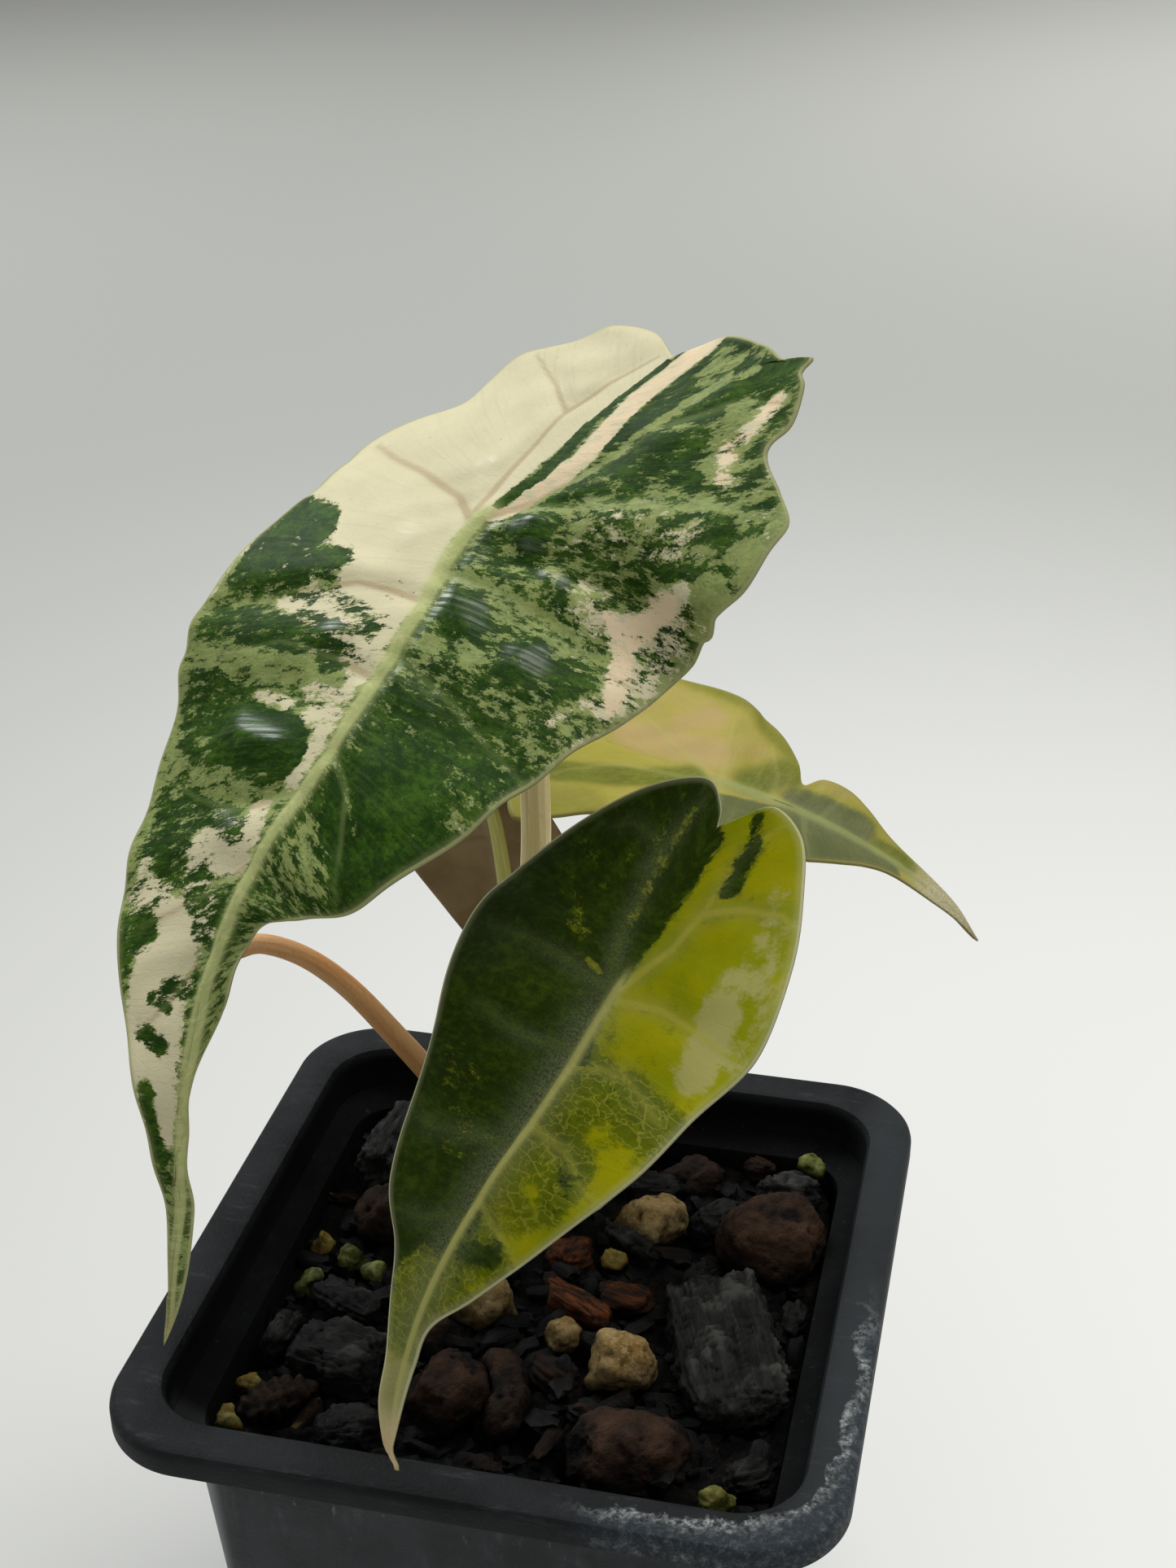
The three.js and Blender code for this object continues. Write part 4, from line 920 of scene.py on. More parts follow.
large_leaf = LEAF_HABIT | {
    "rib": (
        # place over the pot's rim, fold of the left half, fold of the right half
        (11, 25.5, 112, -4, 10),
        (-7.5, 10, 97.5, -4, 10),
        (-12, -4, 90, -2, 10),
        (-17.5, -18, 80, 0, 10),
        (-23.5, -27, 70.5, 4, 10),
        (-27, -35, 60, 8, 18),
        (-28, -42, 49.5, 10, 34),
        (-27.6, -47.5, 37.5, 12, 46),
        (-28.5, -52, 24, 12, 30),
    ),
    "outline": (
        # rib point, then x and s of the left margin and of the right margin there
        (-29, 0, -29, 0, -29),
        (-27, -7.2, -30.4, 3, -34.6),
        (-24, -13.4, -28.8, 9, -36.7),
        (-22.6, -16.2, -26.6, 12.4, -36.7),
        (-22, -17.4, -25.6, 14.8, -39),
        (-21.4, -18.6, -24.6, 15.6, -36.8),
        (-20, -21.2, -22.4, 17.4, -35.6),
        (-17.5, -25, -18.4, 19.8, -31.6),
        (-14, -25, -14, 21.4, -27),
        (-11, -23.4, -10.2, 26, -25),
        (-8, -25.2, -6.6, 30, -23),
        (-5, -27.2, -3, 32, -18.6),
        (-2.5, -25.4, -0.2, 33, -14.4),
        (0, -24.1, 2.8, 33, -10.6),
        (2.5, -25.4, 5.2, 32.9, -6.8),
        (6, -26.4, 10, 32.5, -2),
        (13, -29.2, 21.5, 29.8, 12),
        (27, -28, 36.5, 22.2, 27.8),
        (41, -21.7, 51, 14.6, 47),
        (50, -17.8, 57.6, 8.5, 52.4),
        (57, -14.2, 62.4, 4.2, 55),
        (62, -11.5, 66.3, 2.9, 58.7),
        (68, -8.9, 70, 2.8, 64.5),
        (74, -6.5, 74.6, 1.2, 72),
        (81, -3.8, 81, 0.9, 80.5),
        (88, -1.5, 88, 1.8, 88),
        (94.5, -0.3, 94.5, 1.9, 94.5),
        (103.2, 0, 103.2, 0, 103.2),
    ),
    "first_vein": 15,
    "calm": 6,
    "quilt": 0.9,
    "ripple": 0.1,
    "ruffle": 0.35,
    "groove": 0.45,
    "domes": (
        # line, half width, height
        (((6.6, -1.6), (7.2, 0)), 2.4, 1.15),
        (((5, 13.6), (5.6, 15)), 2.6, 0.8),
        (((14, 16), (14.6, 18)), 2.4, 0.7),
        (((12.6, 3.4), (13, 4.4)), 1.8, 0.5),
        (((12, -4.6), (12.4, -4.2)), 1.4, 0.25),
        (((5, 23), (6, 25)), 2.4, 0.4),
        (((-14, 37), (-7, 37.4)), 2.1, 0.7),
        (((-8, 21), (-7, 21.4)), 1.8, 0.3),
        (((-9, 47), (-6, 47.4)), 1.6, 0.35),
        (((-6, -6), (-7, -5.4)), 1.4, 0.16),
        (((-7, 5), (-6, 5.6)), 1.4, 0.16),
        (((3.2, 1), (3, 16), (2.4, 30), (2, 36)), 1.3, 0.4),
        (((10, -20), (12, -29)), 3.6, 0.7),
        (((14, -8), (24, -15)), 4, 0.7),
        (((29.4, -9), (29.4, 4)), 3.6, 0.7),
    ),
    "dry": (96, 103),
    "grain": 0.75,
    "ragged": 4.4,
    "soft": 0.05,
    "streaky": 0.5,
    "rib_shift": 0.3,
    "rib_width": 1.35,
    "lean": 0.25,
    "specular": 0.08,
    "vein_fade": 0.2,
    "vein_shown": 0.6,
    "veins": (
        ((-1, 1), (-5, -1), (-13, -2), (-20, -2.4), (-25, -3)),
        ((0, 14), (-4, 13.4), (-9, 13.4), (-16, 16), (-27, 21)),
        ((0, 25), (-6, 24), (-14, 24), (-26, 30)),
        ((-1, 41), (-7, 45), (-14, 46), (-22, 45.5)),
        ((-1, 50), (-5, 55), (-12, 60)),
        ((1, -1), (8, -7), (15, -13), (22, -19), (29, -23)),
        ((1, 10), (7, 9.6), (13, 11), (20, 14), (27, 15)),
        ((1, 22), (8, 24), (15, 27), (21, 29)),
        ((1, 35), (5, 38), (8, 43), (11, 49)),
        ((1, 0), (4, -5), (7, -14), (9, -22), (8, -34)),
        ((9, -22), (13, -29), (17, -33)),
        ((-1, 0), (-3.5, -9), (-5.5, -16), (-12, -18), (-22, -20)),
        ((-5.5, -16), (-4.4, -22), (-2, -28)),
        ((-1.2, 60), (-4, 66), (-7, 70)),
    ),
    "ground": (0.6, 0.98, 0),
    "strokes": (
        # line, half width, softness, (dark, pale, blush and sheen)
        (((-27, 28), (-14, 27.5), (-3, 27)), 2, 1.4, (0.2, 1.25, 0)),
        (((-26, 43), (-12, 43.6), (-2, 42)), 2.2, 1.2, (0.3, 1.25, 0)),
        (((-27, 18), (-17, 18.6)), 1.8, 1.4, (0.35, 1.2, 0)),
        (((-25, 22.5), (-13, 22.6)), 2.6, 2, (0.8, 1.0, 0)),
        (((-24, 35.6), (-17, 35.4)), 4.4, 1.8, (0.76, 1.0, 0)),
        (((-22, 41.6), (-14, 41.8)), 0.6, 0.8, (0.75, 1.1, 0)),
        (((-21, 48), (-11, 47)), 2.2, 1.8, (0.72, 1.0, 0)),
        (((-17, 53), (-12, 52)), 2.6, 1.8, (0.78, 0.9, 0)),
        (((-13, -30), (-13, -2)), 13.2, 0.6, (-0.2, -0.2, 0)),
        (((-26, -20), (-25, -2)), 5, 1, (-0.2, -0.2, 0)),
        (((-8, 0), (-5.5, 13)), 6.2, 0.8, (-0.15, -0.15, 0)),
        (((-16, 17.6), (-5, 17.4)), 2, 1.1, (0.12, -0.1, 0)),
        (((-4, 14), (-3, 23)), 2.6, 0.9, (0.05, -0.1, 0)),
        (((-2.4, 22), (-2, 40)), 1.2, 0.8, (0.05, 0.3, 0)),
        (((-7, 28.4), (-2, 29.4)), 1.6, 1.2, (0.2, 0.5, 0)),
        (((-14, 31.4), (-9, 31.4)), 0.9, 0.9, (0.25, 0.15, 0.1)),
        (((-5, 32), (-2.5, 31.4)), 1.2, 0.9, (0.1, 0.1, 0)),
        (((-4, 44), (-2.5, 47)), 1.6, 0.9, (0.1, 0.1, 0)),
        (((-8.4, 50), (-3, 50)), 2, 1.1, (0.05, -0.1, 0)),
        (((-16, 56), (-9, 58)), 2, 1.4, (0.4, 0, 0.1)),
        (((-7, 60), (-4, 78)), 4, 1.6, (-0.2, -0.2, 0)),
        (((-24, 8), (-20, 8)), 4, 0.9, (1.02, 0.6, 0)),
        (((-20, 11), (-13, 11)), 2, 1.4, (0.95, 0.5, 0)),
        (((-23, 14), (-18, 13.6)), 3, 1.8, (0.86, 0.5, 0)),
        (((-24, 16.6), (-18, 15.6)), 1.5, 1.5, (0.72, 0.9, 0)),
        (((-15, 16.2), (-9, 16.2), (-4, 19)), 0.7, 1.6, (0.6, 0.3, 0)),
        (((-13, 20), (-4, 20)), 0.9, 1.5, (0.66, 0.3, 0)),
        (((-26.6, 5), (-27, 12), (-28.4, 18)), 0.8, 0.6, (0.1, 0.35, 0)),
        (((-29, 20), (-29, 27), (-27.6, 36), (-23.6, 46), (-18, 56)), 1.6, 1, (0.3, 1.2, 0.1)),
        (((-9, 21.8), (-6, 24.6)), 1.6, 1.2, (0.8, 0.3, 0)),
        (((-5, 22.8), (-3, 23.4)), 0.6, 0.8, (0.6, 0.2, 0)),
        (((-13.6, 37), (-6.6, 37)), 4, 0.6, (1.4, 1, 0)),
        (((-10, 41), (-4, 40.4)), 0.9, 0.8, (0.8, 1.1, 0)),
        (((-8, 46.6), (-4, 47.6)), 1.2, 1, (0.8, 0.2, 0)),
        (((-7.6, 53), (-3, 57)), 1.9, 1.3, (0.66, 0.1, 0)),
        (((-13, 62), (-11, 60)), 2, 1.4, (0.9, 0.9, 0)),
        (((-5, 64.5), (-2.8, 64.5)), 1.1, 0.8, (0.85, 0, 0)),
        (((-6.4, 66.2), (-4, 66.8)), 0.8, 0.64, (0.75, 0, 0)),
        (((-6.6, 69.4), (-3.6, 70.8)), 1.2, 0.8, (0.85, 0, 0)),
        (((-4.6, 75), (-3.4, 79), (-2, 83)), 1.1, 0.8, (0.85, 0.8, 0)),
        (((2.4, 57), (2.2, 75), (0.6, 92)), 1.6, 1.6, (0.45, 1.3, 0)),
        (((5, -35), (5.6, -20), (5.4, -7)), 2, 1.4, (0.86, 1.2, 0)),
        (((5.4, -33), (7, -29)), 1.4, 1, (0.35, 1.2, 0)),
        (((12.6, -34), (12, -24), (11, -15)), 3, 2, (0.84, 1.2, 0)),
        (((10.6, -22), (13.4, -25)), 0.8, 0.9, (0.5, 1.2, 0)),
        (((15, -29), (20, -20)), 2.4, 1.2, (0.35, 1.1, 0)),
        (((14, -15), (25, -21)), 1.6, 1.2, (0.4, 1.1, 0)),
        (((12, -18), (18, -19)), 1.2, 1, (0.9, 1.0, 0)),
        (((30, -22), (31.6, -12), (31.8, -2)), 3, 1.8, (0.1, 1.15, 0)),
        (((29, -20), (21, -10)), 0.8, 0.9, (0.8, 1, 0)),
        (((30, -14), (24, -7)), 0.6, 0.8, (0.8, 1, 0)),
        (((12, -6), (22, -12)), 4, 3, (0.5, 0.6, 0.1)),
        (((10.8, -34), (8.3, -27), (7.4, -20), (6.2, -12), (4.4, -6), (2.5, -1.5)), 0.4, 0.6, (0.0, 1.3, 0)),
        (((2, -1), (8, -6), (14, -11), (20, -16), (25, -20)), 0.35, 0.6, (0.1, 1.2, 0)),
        (((1, 9.6), (6, 8.8), (12, 9.6), (17, 11.2), (21, 13)), 0.5, 0.7, (0.05, 1.3, 0)),
        (((8, 12), (17, 13.6)), 1.2, 1.1, (0.35, 1.2, 0)),
        (((2, 19.4), (10, 18.6)), 1, 1.1, (0.3, 1.2, 0)),
        (((3, 23), (9, 25)), 1, 1.2, (0.62, 1.2, 0)),
        (((7, -0.6), (7.2, 0)), 2.2, 1.2, (0.95, 1, 0)),
        (((5, 14), (5.6, 15)), 2.6, 1.2, (1.0, 1.2, 0)),
        (((14, 16.6), (14.6, 18)), 2.4, 1.4, (0.95, 1.2, 0)),
        (((19, 16), (21, 20)), 1.5, 1.4, (0.85, 0.9, 0)),
        (((6, 28), (15, 29)), 3.6, 2.4, (0.84, 1.2, 0)),
        (((3.4, 31), (5, 34)), 1.6, 1.2, (0.85, 1.2, 0)),
        (((9, 38), (14, 42)), 6.2, 2.4, (1.15, 1.3, 0)),
        (((1, 35), (5, 38), (9, 41)), 0.4, 1, (0.7, 1.2, 0)),
        (((4, 44.6), (6.6, 48)), 2, 1.4, (0.42, 1.15, 0)),
        (((2, 52), (3, 57)), 1.2, 1, (0.6, 1.1, 0)),
        (((17, 3), (18.6, 8)), 1.8, 1.4, (0.15, 0.5, 0.1)),
        (((12.6, 3.6), (13, 4)), 0.8, 0.7, (0.1, 0.45, 0)),
        (((11.4, -5), (12.4, -4.6)), 0.8, 0.7, (0.15, 0.8, 0)),
        (((16, -33), (17.6, -27)), 0.8, 1, (0.15, 0.1, 0.5)),
        (((17, -25), (20, -21.6)), 1.1, 1.1, (0.2, 0.2, 0.8)),
        (((28, -7), (27.6, -2.5)), 1.5, 1.2, (0.05, 0.1, 0.3)),
        (((26.8, -3), (26, 2), (24.4, 6)), 2.2, 1.2, (0.0, -0.1, 0.9)),
        (((21.5, 6.5), (22.5, 8.6), (24.6, 7)), 1.4, 1.1, (0, 0, 0.9)),
        (((28, 5), (27.4, 10), (26.4, 16)), 1.5, 1.6, (0.42, 0.1, 0.1)),
        (((23.4, 9), (23.8, 13), (25, 18)), 1.5, 1.2, (0.1, 0, 0.7)),
        (((20, 22), (23, 18.6)), 0.8, 1.1, (0.35, 0.4, 0.3)),
        (((31.6, -4), (30, 8), (27.4, 18), (23, 26)), 0.9, 0.8, (0.25, 0.6, 0)),
        (((29.4, -5), (28, 4), (26.6, 12)), 0.8, 1, (0.55, 0.3, 0)),
        (
            ((2, -35), (2.2, -29), (2, -22), (3, -17), (4, -13), (3.8, -9), (2.8, -5), (1.6, -1)),
            1.35,
            0.4,
            (-0.2, -0.2, 0.7),
        ),
        (((0.2, -28), (-0.1, -21), (0.2, -16)), 0.35, 0.3, (1.6, 1, 0)),
        (((0.2, -16), (1.4, -11), (1.8, -8), (1.0, -4), (0.7, -2)), 0.6, 0.35, (1.6, 1, 0)),
    ),
    "tones": {
        "light": "cfc8a4", "light_two": "d6cfab", "blush_and_sheen": "ead4b0", "pale": "5f7434",
        "pale_two": "88964f", "dark": "1a3606", "dark_two": "3f5f14", "vein_light": "a58c66",
        "vein_green": "74864c", "net": "a0ad78", "haze": "8a9a70", "dry": "a08c60", "rib": "c3c38a",
        "rib_two": "8fa05c", "rim": "aeb07c", "under": "7d8768", "under_two": "8d8a70",
    },
    "net": 0.3,
    "roughness": 0.55,
    "stalk": (
        (-8.5, 24.2, -11),
        (-7, 21, 8),
        (-4.5, 13.5, 32),
        (-1.8, 9, 58),
        (-3, 9.3, 80),
        (-7.1, 10.6, 95.6),
    ),
    "stalk_radii": (2.1, 1.6),
    "stalk_gap": 1.65,
    # The stalk's cream is tinted yellow: partly painted light shining through the leaf above it.
    "stalk_tones": ("fce8a6", "e2cb82", "eab878"),
}
leaf_blade("large_leaf", large_leaf)
leaf_stalk("large_leaf", large_leaf)

# The front leaf: a smaller blade that leans towards the viewer. Its left half is dark
# green and its right half olive to yellow-green, with a fine net of veins and a thin
# pale rim. The tip ends in a small tan hook.
front_leaf = LEAF_HABIT | {
    "rib": (
        (23, -5, 68.3, -8, -8),
        (15, -21, 56.3, -8, -8),
        (10, -31, 48.5, -8, -8),
        (3.8, -38.5, 39.3, -4, -4),
        (-0.9, -44.5, 29.9, 0, 0),
        (-3.4, -49, 20.6, 0, 0),
        (-4.2, -52.3, 12, 0, 0),
    ),
    "outline": (
        (-21.5, 0, -21.5, 0, -21.5),
        (-20, -1.2, -24.2, 1.8, -23.2),
        (-18, -4.6, -26.5, 5.4, -25.9),
        (-14, -10.4, -22.9, 10.6, -23.5),
        (-10, -15.6, -15.8, 14.2, -18),
        (-5, -19.6, -7, 18, -9.3),
        (0, -21.3, -0.5, 19.9, 1.6),
        (9, -18.7, 12, 17.4, 10),
        (19, -17.2, 21.5, 15.9, 17),
        (29, -13, 32, 11.5, 27),
        (36, -7.4, 37, 6.1, 36.6),
        (41, -4.9, 41, 2.2, 42.2),
        (47, -2.4, 47, 1.7, 47),
        (53, -1.6, 53, 1.2, 53),
        (59.2, 0.4, 59.2, 0.4, 59.2),
    ),
    "curl": 0.5,
    "hook": 1.4,
    "first_vein": 5,
    "quilt": 0.35,
    "ripple": 0.08,
    "groove": 0.12,
    "across": 38,
    "dry": (51, 55.5),
    "grain": 0.6,
    "ragged": 2.6,
    "soft": 0.13,
    "haze": 0.42,
    "rib_shown": 0.75,
    "rib_width": 0.8,
    "rib_shift": 0.5,
    "specular": 0.06,
    "rim_width": 0.34,
    "vein_fade": 0.45,
    "vein_shown": 0.75,
    "veins": (
        ((-1, 0), (-3, -6), (-4, -13), (-5, -17), (-9, -18), (-12, -16)),
        ((-4.4, -14), (-4, -20), (-3, -25)),
        ((-1, 1), (-6, 0), (-11, -0.6), (-17, -0.2)),
        ((-1, 9), (-7, 10), (-14, 9)),
        ((-1, 21), (-6, 23), (-11, 25), (-15, 25)),
        ((-1, 30), (-5, 33), (-9, 34)),
        ((1, 0), (4, -6), (5, -12), (5, -19), (8, -24)),
        ((5, -11), (9, -13), (14, -14), (16, -13)),
        ((1, 2), (7, 1), (13, 2), (18, 3)),
        ((1, 10), (7, 9), (13, 11), (16, 12)),
        ((1, 18), (7, 18), (12, 20), (15, 20)),
        ((1, 28), (5, 29), (9, 30)),
    ),
    "ground": (1.15, 1.2, 0),
    "strokes": (
        (((8, -26), (8.5, 4)), 7.4, 0.9, (-0.2, 0.22, 0)),
        (((15.5, -16), (16, 8)), 5, 1, (-0.2, 0.1, 0.2)),
        (((7.5, 15), (6, 22), (4.6, 31)), 6.6, 2.4, (-0.1, 0.72, 0)),
        (((12.6, 14), (9, 26)), 4.6, 0.9, (-0.1, 0.2, 0)),
        (((-11, -26), (-11.6, 28)), 11.2, 0.6, (1.15, 1.2, 0)),
        (((-5, 26), (-3.6, 40)), 4.2, 0.8, (1.0, 1.2, 0)),
        (((-10, -22), (-10, -11)), 7, 3, (0.76, 1.2, 0)),
        (((-12, 18), (-6, 23)), 5, 3, (0.7, 1.2, 0)),
        (((-9, -5), (-7, -3.6)), 1.1, 1, (0.4, 1.0, 0)),
        (((-3.4, -22), (-3.2, -14), (-2.4, -7)), 0.7, 0.9, (0.5, 1.0, 0)),
        (((-1.6, -22), (-1.2, -12), (-0.8, -7)), 0.5, 0.9, (1.1, 1.2, 0)),
        (((-5, -1.2), (-2.6, -0.4)), 0.35, 0.6, (0.3, 0.6, 0)),
        (((1, -20), (0.8, -12), (0.4, -6)), 1.1, 1.1, (0.9, 1, 0)),
        (((4.4, -24), (5.6, -21.4)), 0.9, 1.1, (0.66, 0.6, 0)),
        (((6, -19.6), (6.2, -14.6)), 1.3, 1.3, (0.95, 0.9, 0)),
        (((3, 6), (5, 10)), 1.4, 1.8, (0.1, 0.55, 0)),
        (((2.6, 11.6), (9, 11.6), (15.6, 12)), 2.5, 2.2, (0.22, 1.15, 0)),
        (((3, 17.6), (8.6, 19.6)), 3.2, 2.4, (0.2, 1.05, 0)),
        (((9.4, 19), (10, 23)), 1.8, 1.4, (0.42, 1.1, 0)),
        (((3.6, 25.6), (7, 26)), 2.4, 1.8, (0.2, 0.75, 0)),
        (((3, 33), (6, 31)), 1.6, 1.3, (0.75, 1.1, 0)),
        (((1.6, 29), (3, 38)), 1, 1.2, (0.6, 1.1, 0)),
        # These blush strokes paint a tan-grey sheen on the wax of the right margin.
        (((13, -15), (15.4, -9)), 2, 1.8, (-0.3, -0.1, 0.5)),
        (((12.6, -5), (16.6, -6)), 1.7, 1.5, (-0.3, -0.3, 0.72)),
        (((13.6, -1), (15, 5.6)), 2.2, 1.4, (-0.3, -0.3, 0.95)),
        (((17.6, -8), (18.4, 4)), 1, 1, (-0.2, -0.2, 0.5)),
        (((0, 39), (0, 48)), 5, 2, (0.2, 0.8, 0.4)),
        (((0, 51), (0, 58)), 4, 1.6, (-0.2, 0.2, 0.9)),
    ),
    "tones": {
        "light": "989600", "light_two": "828800", "blush_and_sheen": "a49f60", "pale": "3c4a02",
        "pale_two": "5a6604", "dark": "1f2e00", "dark_two": "364a08", "vein_light": "a19c3a",
        "vein_green": "4c5c20", "net": "a5a23c", "haze": "7b8062", "dry": "c9a777", "rib": "b6b36b",
        "rib_two": "9b9b58", "rim": "c3c298", "under": "6f7550", "under_two": "7c7857",
    },
    "net": 0.42,
    "roughness": 0.6,
    "stalk": (
        (-4, 22.6, -11),
        (1, 17, 12),
        (8, 5, 36),
        (13.2, -9, 50.5),
        (14.8, -19.6, 54.4),
    ),
    "stalk_radii": (1.6, 1.3),
    "stalk_tones": ("8e955a", "a8a76c", "7d7348"),
}
leaf_blade("front_leaf", front_leaf)
leaf_stalk("front_leaf", front_leaf)

# The right leaf: a thin blade that points away to the right. Its far half is yellow-green
# with a pinkish tint, brightened with a painted glow of light through the blade; the near
# half is bluer, partly a painted sheen; and the tip twists and dries to a purplish tan.
right_leaf = LEAF_HABIT | {
    "rib": (
        (11.3, 41.1, 50.1, 0, -15),
        (15.7, 40.4, 49.2, 0, -15),
        (26.1, 40.6, 46, 0, -15),
        (37.2, 39.8, 41.3, -2, -15),
        (46.7, 39.4, 35.2, -5, -10),
        (51.6, 38.5, 30.4, -10, -10),
    ),
    "outline": (
        (-18, 0, -18, 0, -18),
        (-16, -4, -22.5, 3, -22.5),
        (-13.5, -10, -23.5, 8, -23.5),
        (-10.5, -17, -23.3, 13.4, -21.6),
        (-7.5, -22.4, -20, 16.7, -16.8),
        (-4.5, -19.4, -15.6, 17.9, -11.4),
        (-2, -15.7, -11.1, 18.5, -6.4),
        (0.5, -14.1, -4.2, 17.7, -1.7),
        (3.5, -13.8, 2, 15.2, 4.9),
        (6.5, -12.6, 7.5, 9.8, 8.8),
        (8.5, -11.4, 11, 5.6, 10.4),
        (11, -9.4, 15, 8.2, 12.6),
        (14.5, -6.6, 19, 8.4, 16),
        (18.5, -4.1, 22.4, 6.8, 19.4),
        (24, -2.6, 26, 4, 24.4),
        (32.6, -2, 33, 2, 33),
        (41.2, 0, 41.2, 0, 41.2),
    ),
    "first_vein": 6,
    "quilt": 0.12,
    "ripple": 0.12,
    "groove": 0.03,
    "across": 36,
    "dry": (27, 32),
    "grain": 0.2,
    "ragged": 1.2,
    "soft": 0.3,
    "haze": 0.15,
    "rib_shown": 0.6,
    "specular": 0.1,
    "vein_fade": 0.25,
    "vein_shown": 0.55,
    "veins": (
        ((-1, -2), (-3.5, -11.7), (-6.4, -15.5), (-10.3, -18.9), (-14.9, -21.2)),
        ((1, -2), (4, -9), (7, -14), (10, -19)),
        ((0, 0), (-5, 1), (-12, -1)),
        ((0, 0), (6, -1), (13, -3)),
        ((0, 7), (5, 7), (11, 5)),
        ((0, 12), (-5, 13), (-9, 15)),
        ((0, 14), (4, 15), (7, 16)),
    ),
    "ground": (-0.2, 0.3, 0.2),
    "strokes": (
        (((8, -20), (9, 0)), 8, 3, (-0.2, 0.2, 0.42)),
        (((3, -14), (5, -3)), 2.4, 1.8, (-0.2, 0.0, 0.9)),
        (((9, -9), (12, -6)), 1.6, 1.6, (-0.2, 0.0, 0.8)),
        (((18.4, -16), (17.6, -1), (10, 9)), 1.8, 1.6, (-0.1, 0.85, 0.0)),
        (((2, 4), (6, 8)), 2.6, 1.8, (0.1, 1.3, 0)),
        (((-11, -20), (-5, -9), (-1, -4)), 2.2, 1.2, (0.1, 1.3, 0)),
        (((-20, -22), (-15, -14)), 3.4, 1.6, (-0.1, 0.6, 0.1)),
        (((-8, -2), (-5, 14), (-3, 22)), 5, 1.6, (1.2, 0.3, 0)),
        (((2, 11), (3, 19)), 3, 1.6, (0.75, 0.6, 0)),
        (((7, 12.6), (7.4, 15.4)), 1.2, 1.2, (0.1, 0.55, 0.62)),
        (((0.8, 23), (1.4, 27)), 1.6, 1, (0, 1.6, 0)),
    ),
    # The yellow tones over the far half carry a painted glow of light through the blade, and the grey-green
    # dark tone on the near half a painted sheen, over the leaf's own colours.
    "tones": {
        "light": "a2993e", "light_two": "aca14c", "blush_and_sheen": "b89f69", "pale": "566012",
        "pale_two": "6f7424", "dark": "5a6039", "dark_two": "666b40", "vein_light": "b3a75e",
        "vein_green": "8d915a", "net": "9a9a50", "haze": "9ea07a", "dry": "cfc4a8", "rib": "9aa066",
        "rib_two": "8a9055", "rim": "8f8b50", "under": "99925a", "under_two": "a58f66",
    },
    "net": 0.15,
    "roughness": 0.5,
    "stalk": (
        (-4.2, 28, -11),
        (-2, 30, 10),
        (3.6, 34, 30),
        (11, 38.4, 43),
        (15.4, 40.3, 47.4),
    ),
    "stalk_radii": (1.6, 1.2),
    "stalk_tones": ("e0db80", "cac972", "cdaa6e"),
}
leaf_blade("right_leaf", right_leaf)
leaf_stalk("right_leaf", right_leaf)

# The back leaf: an old blade that hangs behind the others and turns its dark
# purple-brown underside to the viewer.
back_leaf = LEAF_HABIT | {
    "rib": (
        (-18.4, 36.7, 55.5, 4, 4),
        (-17.3, 38, 48, 4, 4),
        (-15.8, 39.7, 39.5, 4, 4),
        (-14.6, 41.2, 30, 6, 6),
        (-13.7, 42.2, 20, 8, 8),
        (-12.8, 43.2, 5, 8, 8),
    ),
    "outline": (
        (-7.7, 0, -7.7, 0, -7.7),
        (-7, -2.2, -11.5, 3, -14),
        (-5.5, -5, -12.5, 8, -15),
        (-3, -7.6, -7.5, 12, -9),
        (1, -8.6, 0, 15.5, 0),
        (8, -11, 8, 15.5, 8),
        (15, -13, 15, 14.3, 15),
        (22, -11.3, 22, 11.5, 22),
        (30, -7, 30, 7, 30),
        (37, -2.8, 37, 2.8, 37),
        (44, 0, 44, 0, 44),
    ),
    "roll": 30,
    "first_vein": 4,
    "quilt": 0.6,
    "ripple": 0.15,
    "groove": 0.15,
    "across": 30,
    "dry": (36, 44),
    "grain": 0.3,
    "ragged": 1.4,
    "soft": 0.1,
    "vein_fade": 0.2,
    "vein_shown": 0.7,
    "veins": (
        ((0, 0), (4, -5), (7, -11)),
        ((0, 0), (-4, 0), (-8, 1)),
        ((0, 1), (7, 2), (13, 4)),
        ((0, 9), (6, 11), (12, 14)),
        ((0, 9), (-5, 11), (-10, 14)),
        ((0, 19), (5, 22), (9, 25)),
        ((0, 19), (-5, 22), (-9, 25)),
    ),
    "ground": (0.75, 1, 0),
    "strokes": (
        (((6, 4), (10, 14)), 3, 2, (0.4, 0.5, 0.2)),
        (((-6, 14), (-4, 24)), 2.4, 2, (0.4, 0.4, 0.2)),
    ),
    "tones": {
        "light": "a8a562", "light_two": "9c9a58", "blush_and_sheen": "b19a70", "pale": "6f7f46",
        "pale_two": "7f8d50", "dark": "2b3d1c", "dark_two": "394a22", "vein_light": "a8a270",
        "vein_green": "7f8a58", "net": "8f9468", "haze": "8a9070", "dry": "8a6f4c", "rib": "8f9060",
        "rib_two": "7d8250", "rim": "6f6248", "under": "887453", "under_two": "a28d67",
    },
    "net": 0.25,
    "roughness": 0.45,
    "stalk": (
        (-9.3, 29.5, -11),
        (-11.8, 30.5, 6),
        (-12, 32, 28),
        (-14.2, 34.8, 42),
        (-16.9, 37.3, 47.4),
    ),
    "stalk_radii": (1.3, 0.8),
    "stalk_tones": ("e0db80", "cac972", "c8ad6c"),
}
leaf_blade("back_leaf", back_leaf)
leaf_stalk("back_leaf", back_leaf)

